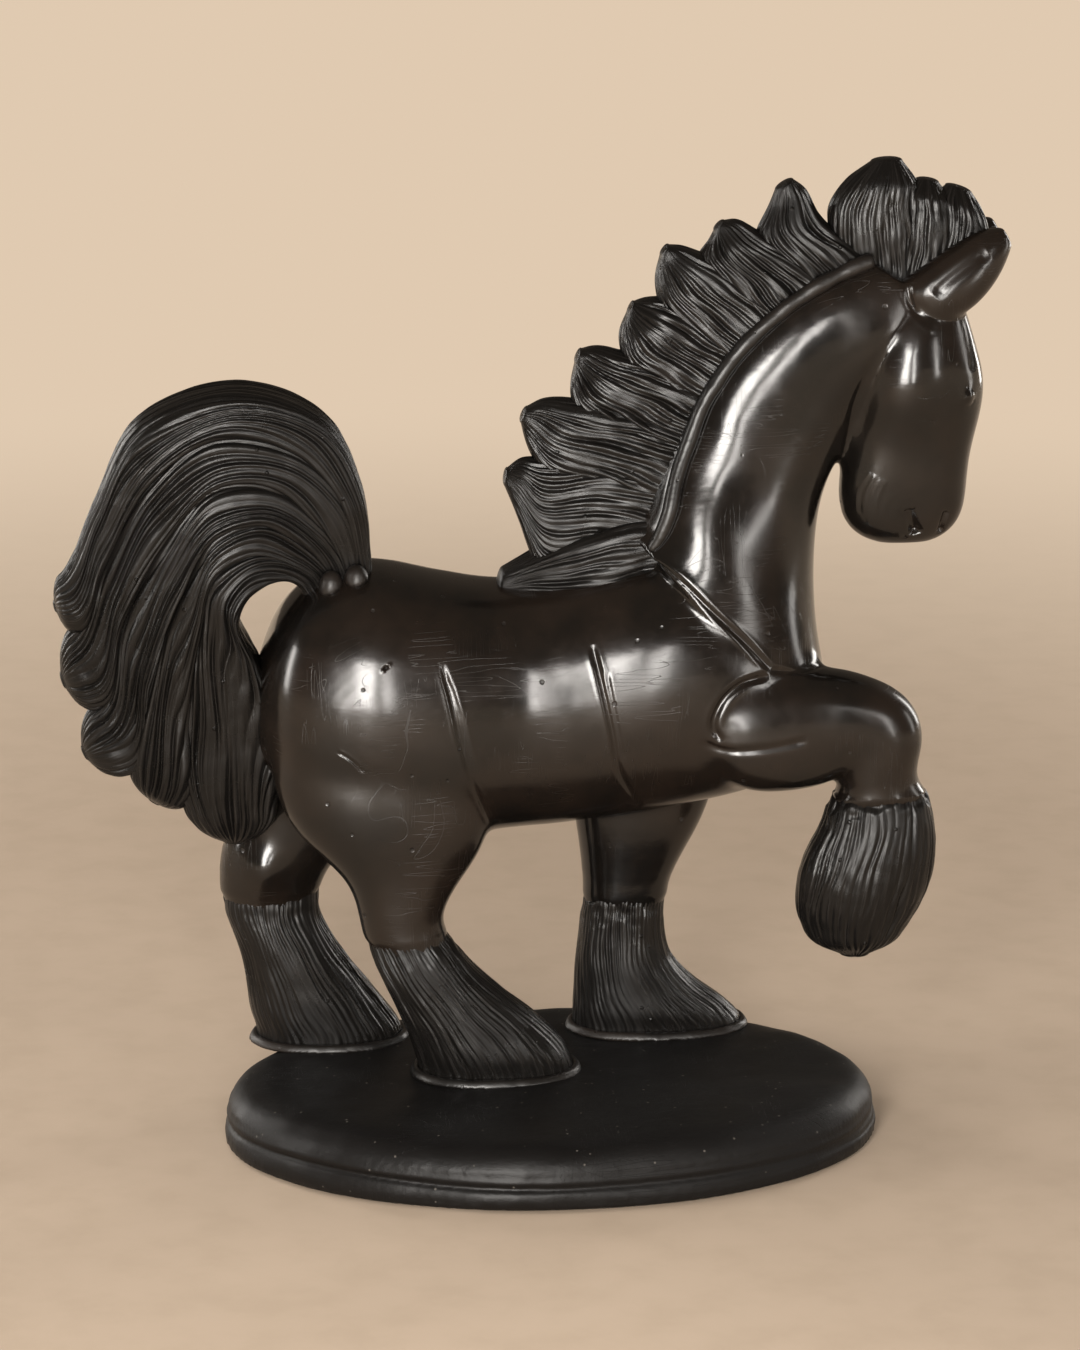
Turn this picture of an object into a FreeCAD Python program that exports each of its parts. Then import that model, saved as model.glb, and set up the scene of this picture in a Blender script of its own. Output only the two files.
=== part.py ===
import FreeCAD, Part
import math
import os

# A burnished black clay horse, prancing to +X, on an oval plinth that stands on Z = 0.
# The origin is the middle of the plinth's underside, and -Y is the horse's right side.

os.makedirs("parts", exist_ok=True)

# The figure
horse_length = 250.0
body_width = 56.0
horse_setback = 18.0
horse_forward = 2.0

# The plinth
base_length = 169.0
base_depth = 116.0
base_height = 16.0
base_foot_height = 6.5
rim_round = 7.0
foot_round = 3.0
foot_bulge = 1.2

# The hollow of the trunk, and the joints inside the clay
wall = 6.0
neck_spigot_diameter = 26.0
neck_spigot_length = 11.0
ear_peg_diameter = 5.0
ear_peg_length = 6.0
foot_peg_diameter = 9.0
foot_peg_length = 6.0
vent_diameter = 1.2

# Beads and dabs of slip
mane_bead_diameter = 3.2
hoof_bead_width = 2.0
hoof_bead_height = 1.6
dab_length = 8.0
dab_width = 5.6

# Section rings, and how full they are: 2 is an ellipse, more is nearer a square
ring_points = 12
limb_fullness = 2.2
head_fullness = 2.3
tail_fullness = 2.6

# Where the mane's beads lie, turned down from the crest, and how far they stand off it
neck_bead_angle = 42.0
back_bead_angle = 26.0
bead_lift_share = 0.3
ear_spread = 8.0

# The turns at which the plinth's rolled edges are drawn, from its faces to its side
foot_turns = [90, 50, 20]
rim_turns = [10, 35, 60, 78, 90]

ALONG = FreeCAD.Vector(1, 0, 0)
ACROSS = FreeCAD.Vector(0, 1, 0)


def place(along_share, up_share, across_share=0):
    # Shares are hundredths: of the horse's length along and up, of its width across
    along = horse_forward + horse_length * along_share / 100
    up = base_height + horse_length * up_share / 100
    across = horse_setback + body_width * across_share / 100
    return FreeCAD.Vector(along, across, up)


def ring(fore, aft, half_wide, fullness):
    # A closed smooth ring through two opposite outline points, as wide across as asked
    centre = (fore + aft) * 0.5
    reach = (fore - aft) * 0.5
    points = []
    for step in range(ring_points):
        turn = 2 * math.pi * step / ring_points
        cosine = math.cos(turn)
        sine = math.sin(turn)
        size = (abs(cosine) ** fullness + abs(sine) ** fullness) ** (-1 / fullness)
        points.append(centre + reach * (size * cosine) + ACROSS * (half_wide * size * sine))
    curve = Part.BSplineCurve()
    curve.interpolate(Points=points, PeriodicFlag=True)
    return Part.Wire(curve.toShape())


def loft(rings):
    solid = Part.makeLoft(rings, True, False)
    if solid.Volume < 0:
        solid.reverse()
    return solid


def limb(shares, fullness=limb_fullness, spread=0, inset=0):
    # Rows: fore outline along and up, aft outline along and up, middle across, half width
    rings = []
    for fore_x, fore_z, aft_x, aft_z, across, half in shares:
        fore = place(fore_x, fore_z, across)
        aft = place(aft_x, aft_z, across)
        reach = (fore - aft) * 0.5
        grow = 1 + spread - inset / reach.Length
        centre = (fore + aft) * 0.5
        half_wide = body_width * half / 100 - inset
        rings.append(ring(centre + reach * grow, centre - reach * grow, half_wide, fullness))
    return loft(rings)


def half_space(point, normal):
    # A block that fills the side of a seam plane that the normal points to
    reach = 2 * horse_length
    block = Part.makeBox(reach, reach, reach)
    block.translate(FreeCAD.Vector(-reach / 2, -reach / 2, 0))
    turn = FreeCAD.Rotation(FreeCAD.Vector(0, 0, 1), normal)
    block.Placement = FreeCAD.Placement(point, turn).multiply(block.Placement)
    return block


def seam(lower_shares, upper_shares, set_back=0):
    # All that lies on the head's side of a seam plane, which may be set back from its marks
    run = place(*upper_shares) - place(*lower_shares)
    normal = FreeCAD.Vector(run.z, 0, -run.x).normalize()
    return half_space(place(*lower_shares) - normal * set_back, normal)


def only_solid(shape):
    # The largest solid that a cut leaves
    return max(shape.Solids, key=lambda solid: solid.Volume)


def cut(shape, *tools):
    for tool in tools:
        if shape.BoundBox.intersect(tool.BoundBox):
            shape = shape.cut(tool)
    return only_solid(shape)


nodes = {}

# Trunk: upright sections from the tail end to the chest
trunk_shares = [
    (-30.6, 40.6, -30.6, 36.0, 0, 9),
    (-29.8, 45.0, -29.8, 32.2, 0, 27),
    (-28.0, 48.8, -28.0, 28.6, 0, 39),
    (-25.6, 51.2, -25.6, 25.8, 0, 46),
    (-22.4, 52.8, -22.4, 24.6, 0, 50),
    (-19.2, 53.4, -19.2, 24.2, 0, 52),
    (-14.8, 52.8, -14.8, 24.0, 0, 52),
    (-9.6, 51.6, -9.6, 24.6, 0, 50),
    (-4.0, 51.0, -4.0, 25.2, 0, 47),
    (1.6, 51.8, 1.6, 25.6, 0, 48),
    (7.2, 53.4, 7.2, 26.4, 0, 50),
    (12.8, 54.2, 12.8, 27.2, 0, 51),
    (18.4, 53.0, 18.4, 28.2, 0, 48),
    (23.4, 49.6, 23.4, 29.8, 0, 40),
    (26.6, 45.6, 26.6, 32.2, 0, 28),
    (28.2, 41.6, 28.2, 35.6, 0, 10),
]
trunk = limb(trunk_shares)

flank_low_shares = (-6.8, 29.2)
flank_high_shares = (-11.6, 45.6)
girth_low_shares = (8.4, 30.0)
girth_high_shares = (4.0, 46.0)
neck_low_shares = (28.0, 36.8)
neck_high_shares = (7.0, 57.0)
ahead_of_flank = seam(flank_low_shares, flank_high_shares)
ahead_of_girth = seam(girth_low_shares, girth_high_shares)
above_neck_seam = seam(neck_low_shares, neck_high_shares)
trunk_below_neck = trunk.cut(above_neck_seam)
# The hollow keeps a wall all round, under the neck too
above_neck_floor = seam(neck_low_shares, neck_high_shares, wall)
hollow = limb(trunk_shares[1:-1], inset=wall).cut(above_neck_floor)

# Neck: the first section lies in the neck seam
neck_shares = [
    (28.0, 36.8, 7.0, 57.0, 0, 46),
    (27.5, 44.6, 9.4, 61.2, 0, 39),
    (27.0, 49.8, 10.4, 64.2, 0, 34),
    (27.1, 54.8, 11.6, 67.0, 0, 30),
    (27.8, 59.8, 13.2, 70.6, 0, 28),
    (30.0, 64.8, 15.8, 74.8, 0, 26),
    (32.6, 69.8, 20.2, 79.2, 0, 25),
    (36.0, 74.8, 25.8, 82.8, 0, 23),
    (39.2, 79.0, 31.4, 84.8, 0, 19),
]
neck_body = limb(neck_shares)

# Head: from the poll down to the muzzle
head_shares = [
    (40.6, 82.4, 36.2, 83.6, 0, 12),
    (42.0, 79.2, 34.4, 80.8, 0, 19),
    (43.2, 75.6, 32.6, 76.8, 0, 24),
    (44.2, 71.4, 31.2, 72.0, 0, 26),
    (43.9, 67.8, 30.6, 67.8, 0, 25),
    (43.1, 63.8, 29.8, 63.6, 0, 22),
    (42.8, 60.2, 29.4, 60.0, 0, 20),
    (42.2, 57.2, 30.0, 57.0, 0, 17),
    (40.6, 55.2, 31.6, 55.2, 0, 12),
    (38.0, 54.3, 34.0, 54.3, 0, 6),
]
head_body = limb(head_shares, fullness=head_fullness)

# Raised near foreleg: from the elbow to the knee, then down to the feather
right_forearm_shares = [
    (14.4, 39.8, 15.6, 33.4, -32, 12),
    (16.6, 42.2, 18.2, 30.8, -33, 18),
    (21.0, 43.0, 22.0, 30.0, -32, 20),
    (26.4, 42.9, 26.4, 30.4, -30, 20),
    (31.0, 42.0, 28.4, 31.0, -28, 20),
    (35.6, 39.4, 28.8, 31.4, -28, 19),
    (37.6, 35.0, 28.8, 30.6, -28, 18),
    (38.3, 29.6, 28.2, 29.2, -28, 17),
]
right_fore_feather_shares = [
    (38.3, 29.6, 28.2, 29.2, -28, 17),
    (39.0, 26.6, 27.4, 26.4, -28, 19),
    (39.3, 22.8, 25.6, 22.6, -28, 21),
    (38.6, 19.2, 24.8, 19.0, -28, 21),
    (36.9, 15.8, 25.2, 15.6, -28, 18),
    (34.9, 13.2, 26.9, 13.2, -28, 13),
    (32.6, 12.0, 29.4, 12.0, -28, 6),
]

# Standing far foreleg
left_forearm_shares = [
    (18.0, 33.0, 1.6, 33.0, 26, 21),
    (17.6, 28.0, 2.2, 28.0, 27, 21),
    (16.2, 23.2, 3.0, 23.0, 28, 20),
    (14.4, 19.6, 3.5, 19.4, 29, 18),
    (12.9, 15.8, 3.8, 15.8, 30, 17),
]
left_fore_feather_shares = [
    (12.9, 15.8, 3.8, 15.8, 30, 17),
    (12.5, 12.0, 3.5, 12.0, 30, 17),
    (13.4, 8.0, 3.1, 8.0, 31, 20),
    (16.2, 4.8, 2.9, 4.8, 32, 22),
    (19.4, 2.4, 2.8, 2.4, 32, 23),
    (20.8, 0.8, 2.8, 0.8, 32, 22),
]

# Hind legs
right_thigh_shares = [
    (-10.0, 39.0, -28.0, 39.0, -22, 22),
    (-8.0, 33.6, -29.4, 33.6, -23, 25),
    (-6.8, 29.0, -28.4, 29.0, -24, 26),
    (-7.2, 26.2, -26.4, 25.8, -24, 25),
    (-9.0, 22.6, -22.8, 22.2, -25, 21),
    (-11.2, 19.0, -20.9, 18.6, -26, 18),
    (-11.8, 16.2, -20.4, 15.6, -26, 17),
]
right_hind_feather_shares = [
    (-11.8, 16.2, -20.4, 15.6, -26, 17),
    (-9.2, 12.2, -18.9, 11.8, -26, 19),
    (-5.2, 8.4, -17.2, 8.0, -26, 21),
    (-1.6, 5.4, -15.9, 5.0, -26, 23),
    (0.8, 2.6, -15.0, 2.4, -26, 24),
    (1.6, 0.8, -14.6, 0.8, -26, 23),
]
left_thigh_shares = [
    (-13.0, 38.4, -28.0, 38.4, 21, 22),
    (-12.6, 32.8, -29.6, 32.8, 23, 25),
    (-15.6, 28.0, -31.6, 27.4, 24, 23),
    (-19.0, 23.8, -33.8, 23.4, 25, 20),
    (-22.2, 20.4, -34.7, 19.6, 26, 18),
    (-23.8, 17.8, -34.8, 17.4, 27, 17),
]
left_hind_feather_shares = [
    (-23.8, 17.8, -34.8, 17.4, 27, 17),
    (-24.2, 14.6, -34.2, 14.4, 27, 17),
    (-22.6, 11.0, -33.0, 11.0, 27, 19),
    (-20.2, 7.4, -32.2, 7.4, 28, 21),
    (-17.4, 3.8, -31.8, 3.8, 28, 22),
    (-15.6, 0.8, -31.0, 0.8, 28, 22),
]


def standing_feather(shares):
    # A combed lower leg with a flat sole on the plinth, and the peg that goes down into it
    fore_x, fore_z, aft_x, aft_z, across, half = shares[-1]
    leg = limb(shares + [(fore_x, 0, aft_x, 0, across, half)])
    sole_middle = place((fore_x + aft_x) / 2, 0, across)
    peg = Part.makeCylinder(foot_peg_diameter / 2, foot_peg_length, sole_middle, ACROSS.cross(ALONG))
    return leg, peg


def hoof_bead(shares):
    # A flat ring of slip laid on the plinth round a standing foot
    fore_x, fore_z, aft_x, aft_z, across, half = shares[-1]
    rings = []
    for up, grow in ((0, hoof_bead_width), (hoof_bead_height, hoof_bead_width / 2)):
        fore = place(fore_x, 0, across) + FreeCAD.Vector(grow, 0, up)
        aft = place(aft_x, 0, across) + FreeCAD.Vector(-grow, 0, up)
        rings.append(ring(fore, aft, body_width * half / 100 + grow, limb_fullness))
    return loft(rings)


# Ears: thick leaves that point forward
ear_shares = [
    (37.0, 79.0, 35.4, 82.2, 0, 8),
    (40.2, 78.4, 37.6, 84.0, 0, 12),
    (43.4, 80.4, 40.6, 86.0, 0, 12),
    (45.4, 83.2, 43.4, 87.4, 0, 9),
    (46.4, 85.8, 45.4, 87.6, 0, 4),
]

# The fan on the poll, its lobes from the mane to the face
forelock_shares = [
    [
        (36.8, 82.0, 31.8, 82.4, 0, 13),
        (37.4, 86.0, 29.8, 86.8, 0, 14),
        (37.4, 89.4, 29.0, 90.0, 0, 13),
        (36.6, 92.0, 30.6, 92.4, 0, 10),
        (35.0, 93.8, 32.8, 93.8, 0, 4),
    ],
    [
        (39.2, 82.0, 35.6, 82.4, 0, 13),
        (40.6, 85.6, 36.4, 86.6, 0, 14),
        (41.4, 88.4, 36.8, 89.4, 0, 12),
        (41.4, 90.2, 37.4, 91.2, 0, 9),
        (40.4, 91.4, 38.6, 91.8, 0, 4),
    ],
    [
        (40.8, 80.8, 38.0, 82.0, 0, 11),
        (42.6, 83.8, 39.6, 85.6, 0, 12),
        (44.2, 86.4, 41.0, 88.6, 0, 11),
        (44.4, 88.2, 41.8, 90.2, 0, 8),
        (43.8, 89.6, 42.6, 90.4, 0, 4),
    ],
]

# Mane locks, from the poll to the withers, each from its root to its rounded tip
mane_shares = [
    [
        (33.0, 82.6, 27.4, 79.6, 0, 18),
        (30.4, 86.0, 24.4, 83.8, 0, 15),
        (27.7, 88.9, 21.8, 87.1, 0, 11),
        (25.4, 91.4, 22.4, 89.8, 0, 7),
        (24.0, 92.0, 23.0, 91.4, 0, 3),
    ],
    [
        (28.4, 80.6, 22.8, 76.6, 0, 18),
        (25.0, 84.6, 19.0, 81.4, 0, 15),
        (21.5, 87.2, 16.0, 85.2, 0, 11),
        (18.4, 88.2, 16.2, 86.4, 0, 7),
        (17.2, 87.9, 16.6, 87.3, 0, 3),
    ],
    [
        (23.6, 77.6, 19.2, 73.0, 0, 18),
        (19.6, 82.0, 15.0, 77.4, 0, 15),
        (15.6, 85.2, 11.4, 81.3, 0, 11),
        (12.8, 85.6, 10.8, 83.4, 0, 7),
        (11.6, 85.5, 11.1, 84.9, 0, 3),
    ],
    [
        (19.8, 73.8, 16.0, 69.0, 0, 18),
        (15.4, 77.8, 11.4, 72.6, 0, 15),
        (11.2, 80.9, 7.6, 75.8, 0, 11),
        (9.0, 80.2, 7.2, 77.8, 0, 7),
        (8.1, 79.7, 7.7, 79.0, 0, 3),
    ],
    [
        (16.6, 69.8, 13.8, 64.6, 0, 18),
        (12.0, 73.2, 8.0, 67.6, 0, 15),
        (7.4, 75.4, 2.8, 70.9, 0, 11),
        (4.0, 75.4, 2.2, 72.8, 0, 7),
        (2.8, 74.9, 2.4, 74.1, 0, 3),
    ],
    [
        (14.4, 65.4, 12.0, 60.0, 0, 18),
        (8.8, 68.8, 5.0, 62.6, 0, 15),
        (2.6, 70.6, -1.1, 64.8, 0, 11),
        (-1.4, 69.9, -2.8, 67.0, 0, 7),
        (-2.7, 69.0, -3.1, 68.1, 0, 3),
    ],
    [
        (12.6, 60.8, 10.2, 55.4, 0, 18),
        (6.0, 63.6, 3.6, 57.4, 0, 15),
        (-1.1, 64.4, -1.4, 57.4, 0, 12),
        (-3.7, 63.6, -4.0, 60.4, 0, 8),
        (-4.7, 62.6, -4.9, 61.6, 0, 3),
    ],
    [
        (11.2, 57.6, 9.4, 51.0, 0, 22),
        (4.8, 58.4, 4.2, 50.6, 0, 22),
        (-0.6, 56.6, -1.0, 50.2, 0, 18),
        (-2.8, 53.6, -3.4, 50.2, 0, 13),
        (-6.0, 51.9, -6.6, 50.2, 0, 6),
    ],
]

# How far the lobes and locks are let out, so that each laps the next
forelock_spread_share = 0.08
mane_spread_share = 0.1

# Tail: the root, and the lines that part its locks from the outer edge to the inner one
tail_dock_shares = [
    (-20.4, 47.6, -24.0, 46.2, 0, 6),
    (-20.4, 52.4, -25.0, 50.6, 0, 7),
    (-21.0, 56.6, -26.0, 53.6, 0, 8),
    (-22.6, 60.4, -27.4, 56.0, 0, 7),
]
tail_line_shares = [
    [(-18.6, 49.0), (-18.8, 54.8), (-19.6, 61.6), (-22.8, 68.2),
     (-31.8, 72.0), (-42.0, 68.8), (-46.8, 60.2), (-51.0, 53.0)],
    [(-19.8, 49.0), (-20.2, 54.2), (-22.0, 60.8), (-26.2, 65.6),
     (-34.2, 67.4), (-41.2, 62.6), (-45.8, 54.2), (-49.0, 47.0)],
    [(-21.0, 48.8), (-21.6, 53.6), (-24.4, 58.4), (-28.4, 61.8),
     (-34.4, 62.0), (-39.6, 56.6), (-44.0, 48.0), (-46.6, 39.0)],
    [(-22.2, 48.4), (-23.0, 52.8), (-26.0, 56.2), (-29.8, 58.4),
     (-34.6, 57.2), (-38.2, 51.0), (-41.4, 41.8), (-43.6, 32.0)],
    [(-23.6, 48.2), (-24.6, 52.2), (-27.2, 54.2), (-30.6, 55.2),
     (-34.6, 53.0), (-36.2, 47.2), (-37.6, 38.2), (-38.2, 28.6)],
    [(-25.2, 48.0), (-26.4, 51.6), (-28.4, 52.2), (-31.0, 50.8),
     (-32.4, 47.8), (-31.6, 43.4), (-30.0, 36.8), (-29.8, 28.2)],
]
tail_half_shares = [13, 16, 20, 23, 25, 23, 19, 13]
# How thick each lock is beside the thickest
tail_lock_thickness_shares = [1.0, 0.94, 1.0, 0.92, 0.96]
tail_tip_shares = [(-51.6, 50.4), (-50.4, 41.6), (-48.4, 33.8), (-41.4, 28.4), (-33.2, 23.8)]
# How far on towards the tip the last rings of a lock lie, and how large they are
tail_end_shares = [(0.5, 0.84), (0.85, 0.5), (1.0, 0.2)]
tail_spread_share = 0.3
# How far the outermost and innermost walls stand off the plume, and where all walls start
tail_wall_share = 0.8
tail_wall_across_share = -100

# Dabs of clay on the near side of the tail's root
dab_shares = [(-23.0, 51.8, -18), (-20.4, 52.4, -18)]


def tail_wall(index):
    # The upright curved wall along a parting line, run on past the tips of the locks
    line = tail_line_shares[index]
    if index in (0, len(tail_line_shares) - 1):
        beside = tail_line_shares[1 if index == 0 else index - 1]
        line = [(x + (x - by_x) * tail_wall_share, z + (z - by_z) * tail_wall_share)
                for (x, z), (by_x, by_z) in zip(line, beside)]
    (before_x, before_z), (last_x, last_z) = line[-2:]
    line = line + [(2 * last_x - before_x, 2 * last_z - before_z)]
    curve = Part.BSplineCurve()
    curve.interpolate([place(x, z, tail_wall_across_share) for x, z in line])
    return curve.toShape()


def tail_lock(index):
    # A rounded lock, let out past its parting lines and trimmed to the walls that stand on them
    outer = tail_line_shares[index]
    inner = tail_line_shares[index + 1]
    let_out = 0 if index == 0 else tail_spread_share
    let_in = 0 if index == len(tail_tip_shares) - 1 else tail_spread_share
    rows = []
    for (outer_x, outer_z), (inner_x, inner_z), widest in zip(outer, inner, tail_half_shares):
        half = widest * tail_lock_thickness_shares[index]
        reach_x = (outer_x - inner_x) / 2
        reach_z = (outer_z - inner_z) / 2
        rows.append((outer_x + reach_x * let_out, outer_z + reach_z * let_out,
                     inner_x - reach_x * let_in, inner_z - reach_z * let_in, 0, half))
    # The rounded end closes in from the last full section towards the tip
    tip_x, tip_z = tail_tip_shares[index]
    middle_x = (outer_x + inner_x) / 2
    middle_z = (outer_z + inner_z) / 2
    for way, size in tail_end_shares:
        end_x = middle_x + (tip_x - middle_x) * way
        end_z = middle_z + (tip_z - middle_z) * way
        rows.append((end_x + reach_x * size, end_z + reach_z * size,
                     end_x - reach_x * size, end_z - reach_z * size, 0, half * size))
    outer_wall = tail_wall(index)
    inner_wall = tail_wall(index + 1)
    root = Part.makeLine(outer_wall.valueAt(outer_wall.FirstParameter),
                         inner_wall.valueAt(inner_wall.FirstParameter))
    end = Part.makeLine(outer_wall.valueAt(outer_wall.LastParameter),
                        inner_wall.valueAt(inner_wall.LastParameter))
    outline = Part.Wire([outer_wall, end, inner_wall, root])
    sector = Part.Face(outline).extrude(ACROSS * (2 * body_width))
    return limb(rows, fullness=tail_fullness).common(sector)


def mane_bead(side):
    # A rolled bead a set angle down one side of the crest, from the poll to behind the withers
    neck_seats = [(row, -1, neck_bead_angle) for row in reversed(neck_shares[1:])]
    back_seats = [(row, 1, back_bead_angle) for row in reversed(trunk_shares[8:11])]
    centres = []
    for (fore_x, fore_z, aft_x, aft_z, across, half), crest, degrees in neck_seats + back_seats:
        angle = math.radians(degrees)
        fore = place(fore_x, fore_z, across)
        aft = place(aft_x, aft_z, across)
        middle = (fore + aft) * 0.5
        cosine = math.cos(angle)
        sine = math.sin(angle)
        size = (cosine ** limb_fullness + sine ** limb_fullness) ** (-1 / limb_fullness)
        reach = (fore - aft) * (crest / 2 * size * cosine)
        sideways = ACROSS * (side * body_width * half / 100 * size * sine)
        lift = (reach + sideways).normalize() * (mane_bead_diameter * bead_lift_share)
        centres.append(middle + (fore - aft) * (crest / 2 * size * cosine) + sideways + lift)
    spine = Part.BSplineCurve()
    spine.interpolate(centres)
    radius = mane_bead_diameter / 2
    count = 2 * len(centres)
    rings = []
    for step in range(count + 1):
        where = spine.FirstParameter + (spine.LastParameter - spine.FirstParameter) * step / count
        point = spine.value(where)
        heading = spine.tangent(where)[0]
        level = heading.cross(ACROSS).normalize()
        over = heading.cross(level).normalize()
        points = []
        for corner in range(ring_points):
            turn = 2 * math.pi * corner / ring_points
            points.append(point + level * (radius * math.cos(turn)) + over * (radius * math.sin(turn)))
        curve = Part.BSplineCurve()
        curve.interpolate(Points=points, PeriodicFlag=True)
        rings.append(Part.Wire(curve.toShape()))
    return loft(rings)


def oval(height, grow):
    # The plinth's outline at a height, let out or drawn in
    curve = Part.Ellipse(FreeCAD.Vector(0, 0, height), base_length / 2 + grow, base_depth / 2 + grow)
    return Part.Wire(curve.toShape())


def rolled_oval(low, high, low_round, high_round, bulge):
    # An oval layer whose rim rolls in at the bottom and over at the top
    rings = []
    for turn in foot_turns:
        angle = math.radians(turn)
        inward = low_round * (1 - math.cos(angle))
        rings.append(oval(low + low_round * (1 - math.sin(angle)), bulge - inward))
    for turn in rim_turns:
        angle = math.radians(turn)
        inward = high_round * (1 - math.cos(angle))
        rings.append(oval(high - high_round * (1 - math.sin(angle)), bulge - inward))
    return loft(rings)


# Build the limbs whole, then part them where they meet
right_thigh = limb(right_thigh_shares)
left_thigh = limb(left_thigh_shares)
left_forearm = limb(left_forearm_shares)
right_forearm = limb(right_forearm_shares)
right_fore_feather = limb(right_fore_feather_shares)

# Plinth, with a socket and a bead of slip for each standing foot
nodes["base_slab"] = rolled_oval(0, base_foot_height, foot_round, foot_round, foot_bulge)
base_top = rolled_oval(base_foot_height, base_height, foot_round, rim_round, 0)
standing_shares = {
    "right_hind": right_hind_feather_shares,
    "left_hind": left_hind_feather_shares,
    "left_fore": left_fore_feather_shares,
}
for name, shares in standing_shares.items():
    leg, peg = standing_feather(shares)
    base_top = cut(base_top, peg)
    nodes[name + "_feather"] = only_solid(leg.fuse(peg))
    nodes["hoof_bead_" + name] = cut(hoof_bead(shares), leg)
nodes["base_top"] = base_top

# Hollow trunk
tail_dock = limb(tail_dock_shares)
neck_spigot = Part.makeCylinder(neck_spigot_diameter / 2, neck_spigot_length)
neck_middle = (place(*neck_low_shares) + place(*neck_high_shares)) * 0.5
neck_run = place(*neck_high_shares) - place(*neck_low_shares)
neck_inward = FreeCAD.Vector(-neck_run.z, 0, neck_run.x).normalize()
spigot_turn = FreeCAD.Rotation(FreeCAD.Vector(0, 0, 1), neck_inward)
neck_spigot.Placement = FreeCAD.Placement(neck_middle, spigot_turn)
vent_shares = (-17.8, 42.6, -60)
vent = Part.makeCylinder(vent_diameter / 2, body_width / 2, place(*vent_shares), ACROSS)
shell = trunk.cut(hollow)
nodes["rump"] = cut(shell, ahead_of_flank, tail_dock, vent)
nodes["barrel"] = cut(shell.common(ahead_of_flank), ahead_of_girth)
nodes["forehand"] = cut(shell.common(ahead_of_girth), above_neck_seam, neck_spigot)

# Head and neck
nodes["neck"] = cut(neck_body.fuse(neck_spigot), head_body)
right_bead = mane_bead(-1)
left_bead = mane_bead(1)
ear_peg_shares = (37.0, 80.6)
ears = {}
for name, side in (("right_ear", -1), ("left_ear", 1)):
    shift = ACROSS * (side * ear_spread)
    leaf = limb(ear_shares)
    leaf.translate(shift)
    root = place(*ear_peg_shares) + shift
    heading = place(ear_shares[0][0], ear_shares[0][1]) - place(ear_shares[2][0], ear_shares[2][1])
    peg = Part.makeCylinder(ear_peg_diameter / 2, ear_peg_length, root, heading)
    ears[name] = cut(leaf, head_body, neck_body).fuse(peg)
nodes["right_ear"] = only_solid(ears["right_ear"])
nodes["left_ear"] = only_solid(ears["left_ear"])
nodes["head"] = cut(head_body, nodes["right_ear"], nodes["left_ear"])
nodes["neck"] = cut(nodes["neck"], nodes["right_ear"], nodes["left_ear"])
nodes["mane_bead_right"] = cut(right_bead, neck_body, head_body, trunk_below_neck)
nodes["mane_bead_left"] = cut(left_bead, neck_body, head_body, trunk_below_neck)

# Fan on the poll and mane, each lock cut by the ones it lies on
carriers = [head_body, neck_body, right_bead, left_bead, nodes["right_ear"], nodes["left_ear"]]
first_lobe = limb(forelock_shares[0], spread=forelock_spread_share)
for number, shares in enumerate(forelock_shares, 1):
    lobe = limb(shares, spread=forelock_spread_share)
    nodes[f"forelock_{number}"] = cut(lobe, *carriers)
    carriers.append(lobe)
mane_carriers = [head_body, neck_body, right_bead, left_bead, trunk_below_neck, first_lobe]
for number, shares in enumerate(mane_shares, 1):
    lock = limb(shares, spread=mane_spread_share)
    nodes[f"mane_lock_{number}"] = cut(lock, *mane_carriers)
    mane_carriers.append(lock)

# Legs
nodes["right_thigh"] = cut(right_thigh, trunk)
nodes["left_thigh"] = cut(left_thigh, trunk, right_thigh)
nodes["left_forearm"] = cut(left_forearm, trunk)
nodes["right_forearm"] = cut(right_forearm, trunk_below_neck, neck_body)
nodes["right_fore_feather"] = right_fore_feather

# Tail
nodes["tail_dock"] = only_solid(tail_dock)
tail_carriers = [trunk, tail_dock, left_thigh, right_thigh]
for index in range(len(tail_tip_shares)):
    lock = cut(tail_lock(index), *tail_carriers)
    nodes[f"tail_lock_{index + 1}"] = lock
dab_carriers = tail_carriers + [nodes[f"tail_lock_{number}"] for number in range(1, 6)]
for number, (along, up, across) in enumerate(dab_shares, 1):
    dab = Part.makeSphere(dab_width / 2)
    stretch = FreeCAD.Matrix()
    stretch.scale(1, 1, dab_length / dab_width)
    dab = dab.transformGeometry(stretch)
    dab.translate(place(along, up, across))
    nodes[f"tail_dab_{number}"] = cut(dab, *dab_carriers)
    dab_carriers.append(dab)

for name, shape in nodes.items():
    shape.exportStep(f"parts/{name}.step")
    print(name, round(shape.Volume), shape.isValid(), len(shape.Solids))
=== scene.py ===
import bpy
import math
import numpy as np
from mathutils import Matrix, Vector
from mathutils.bvhtree import BVHTree


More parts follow.
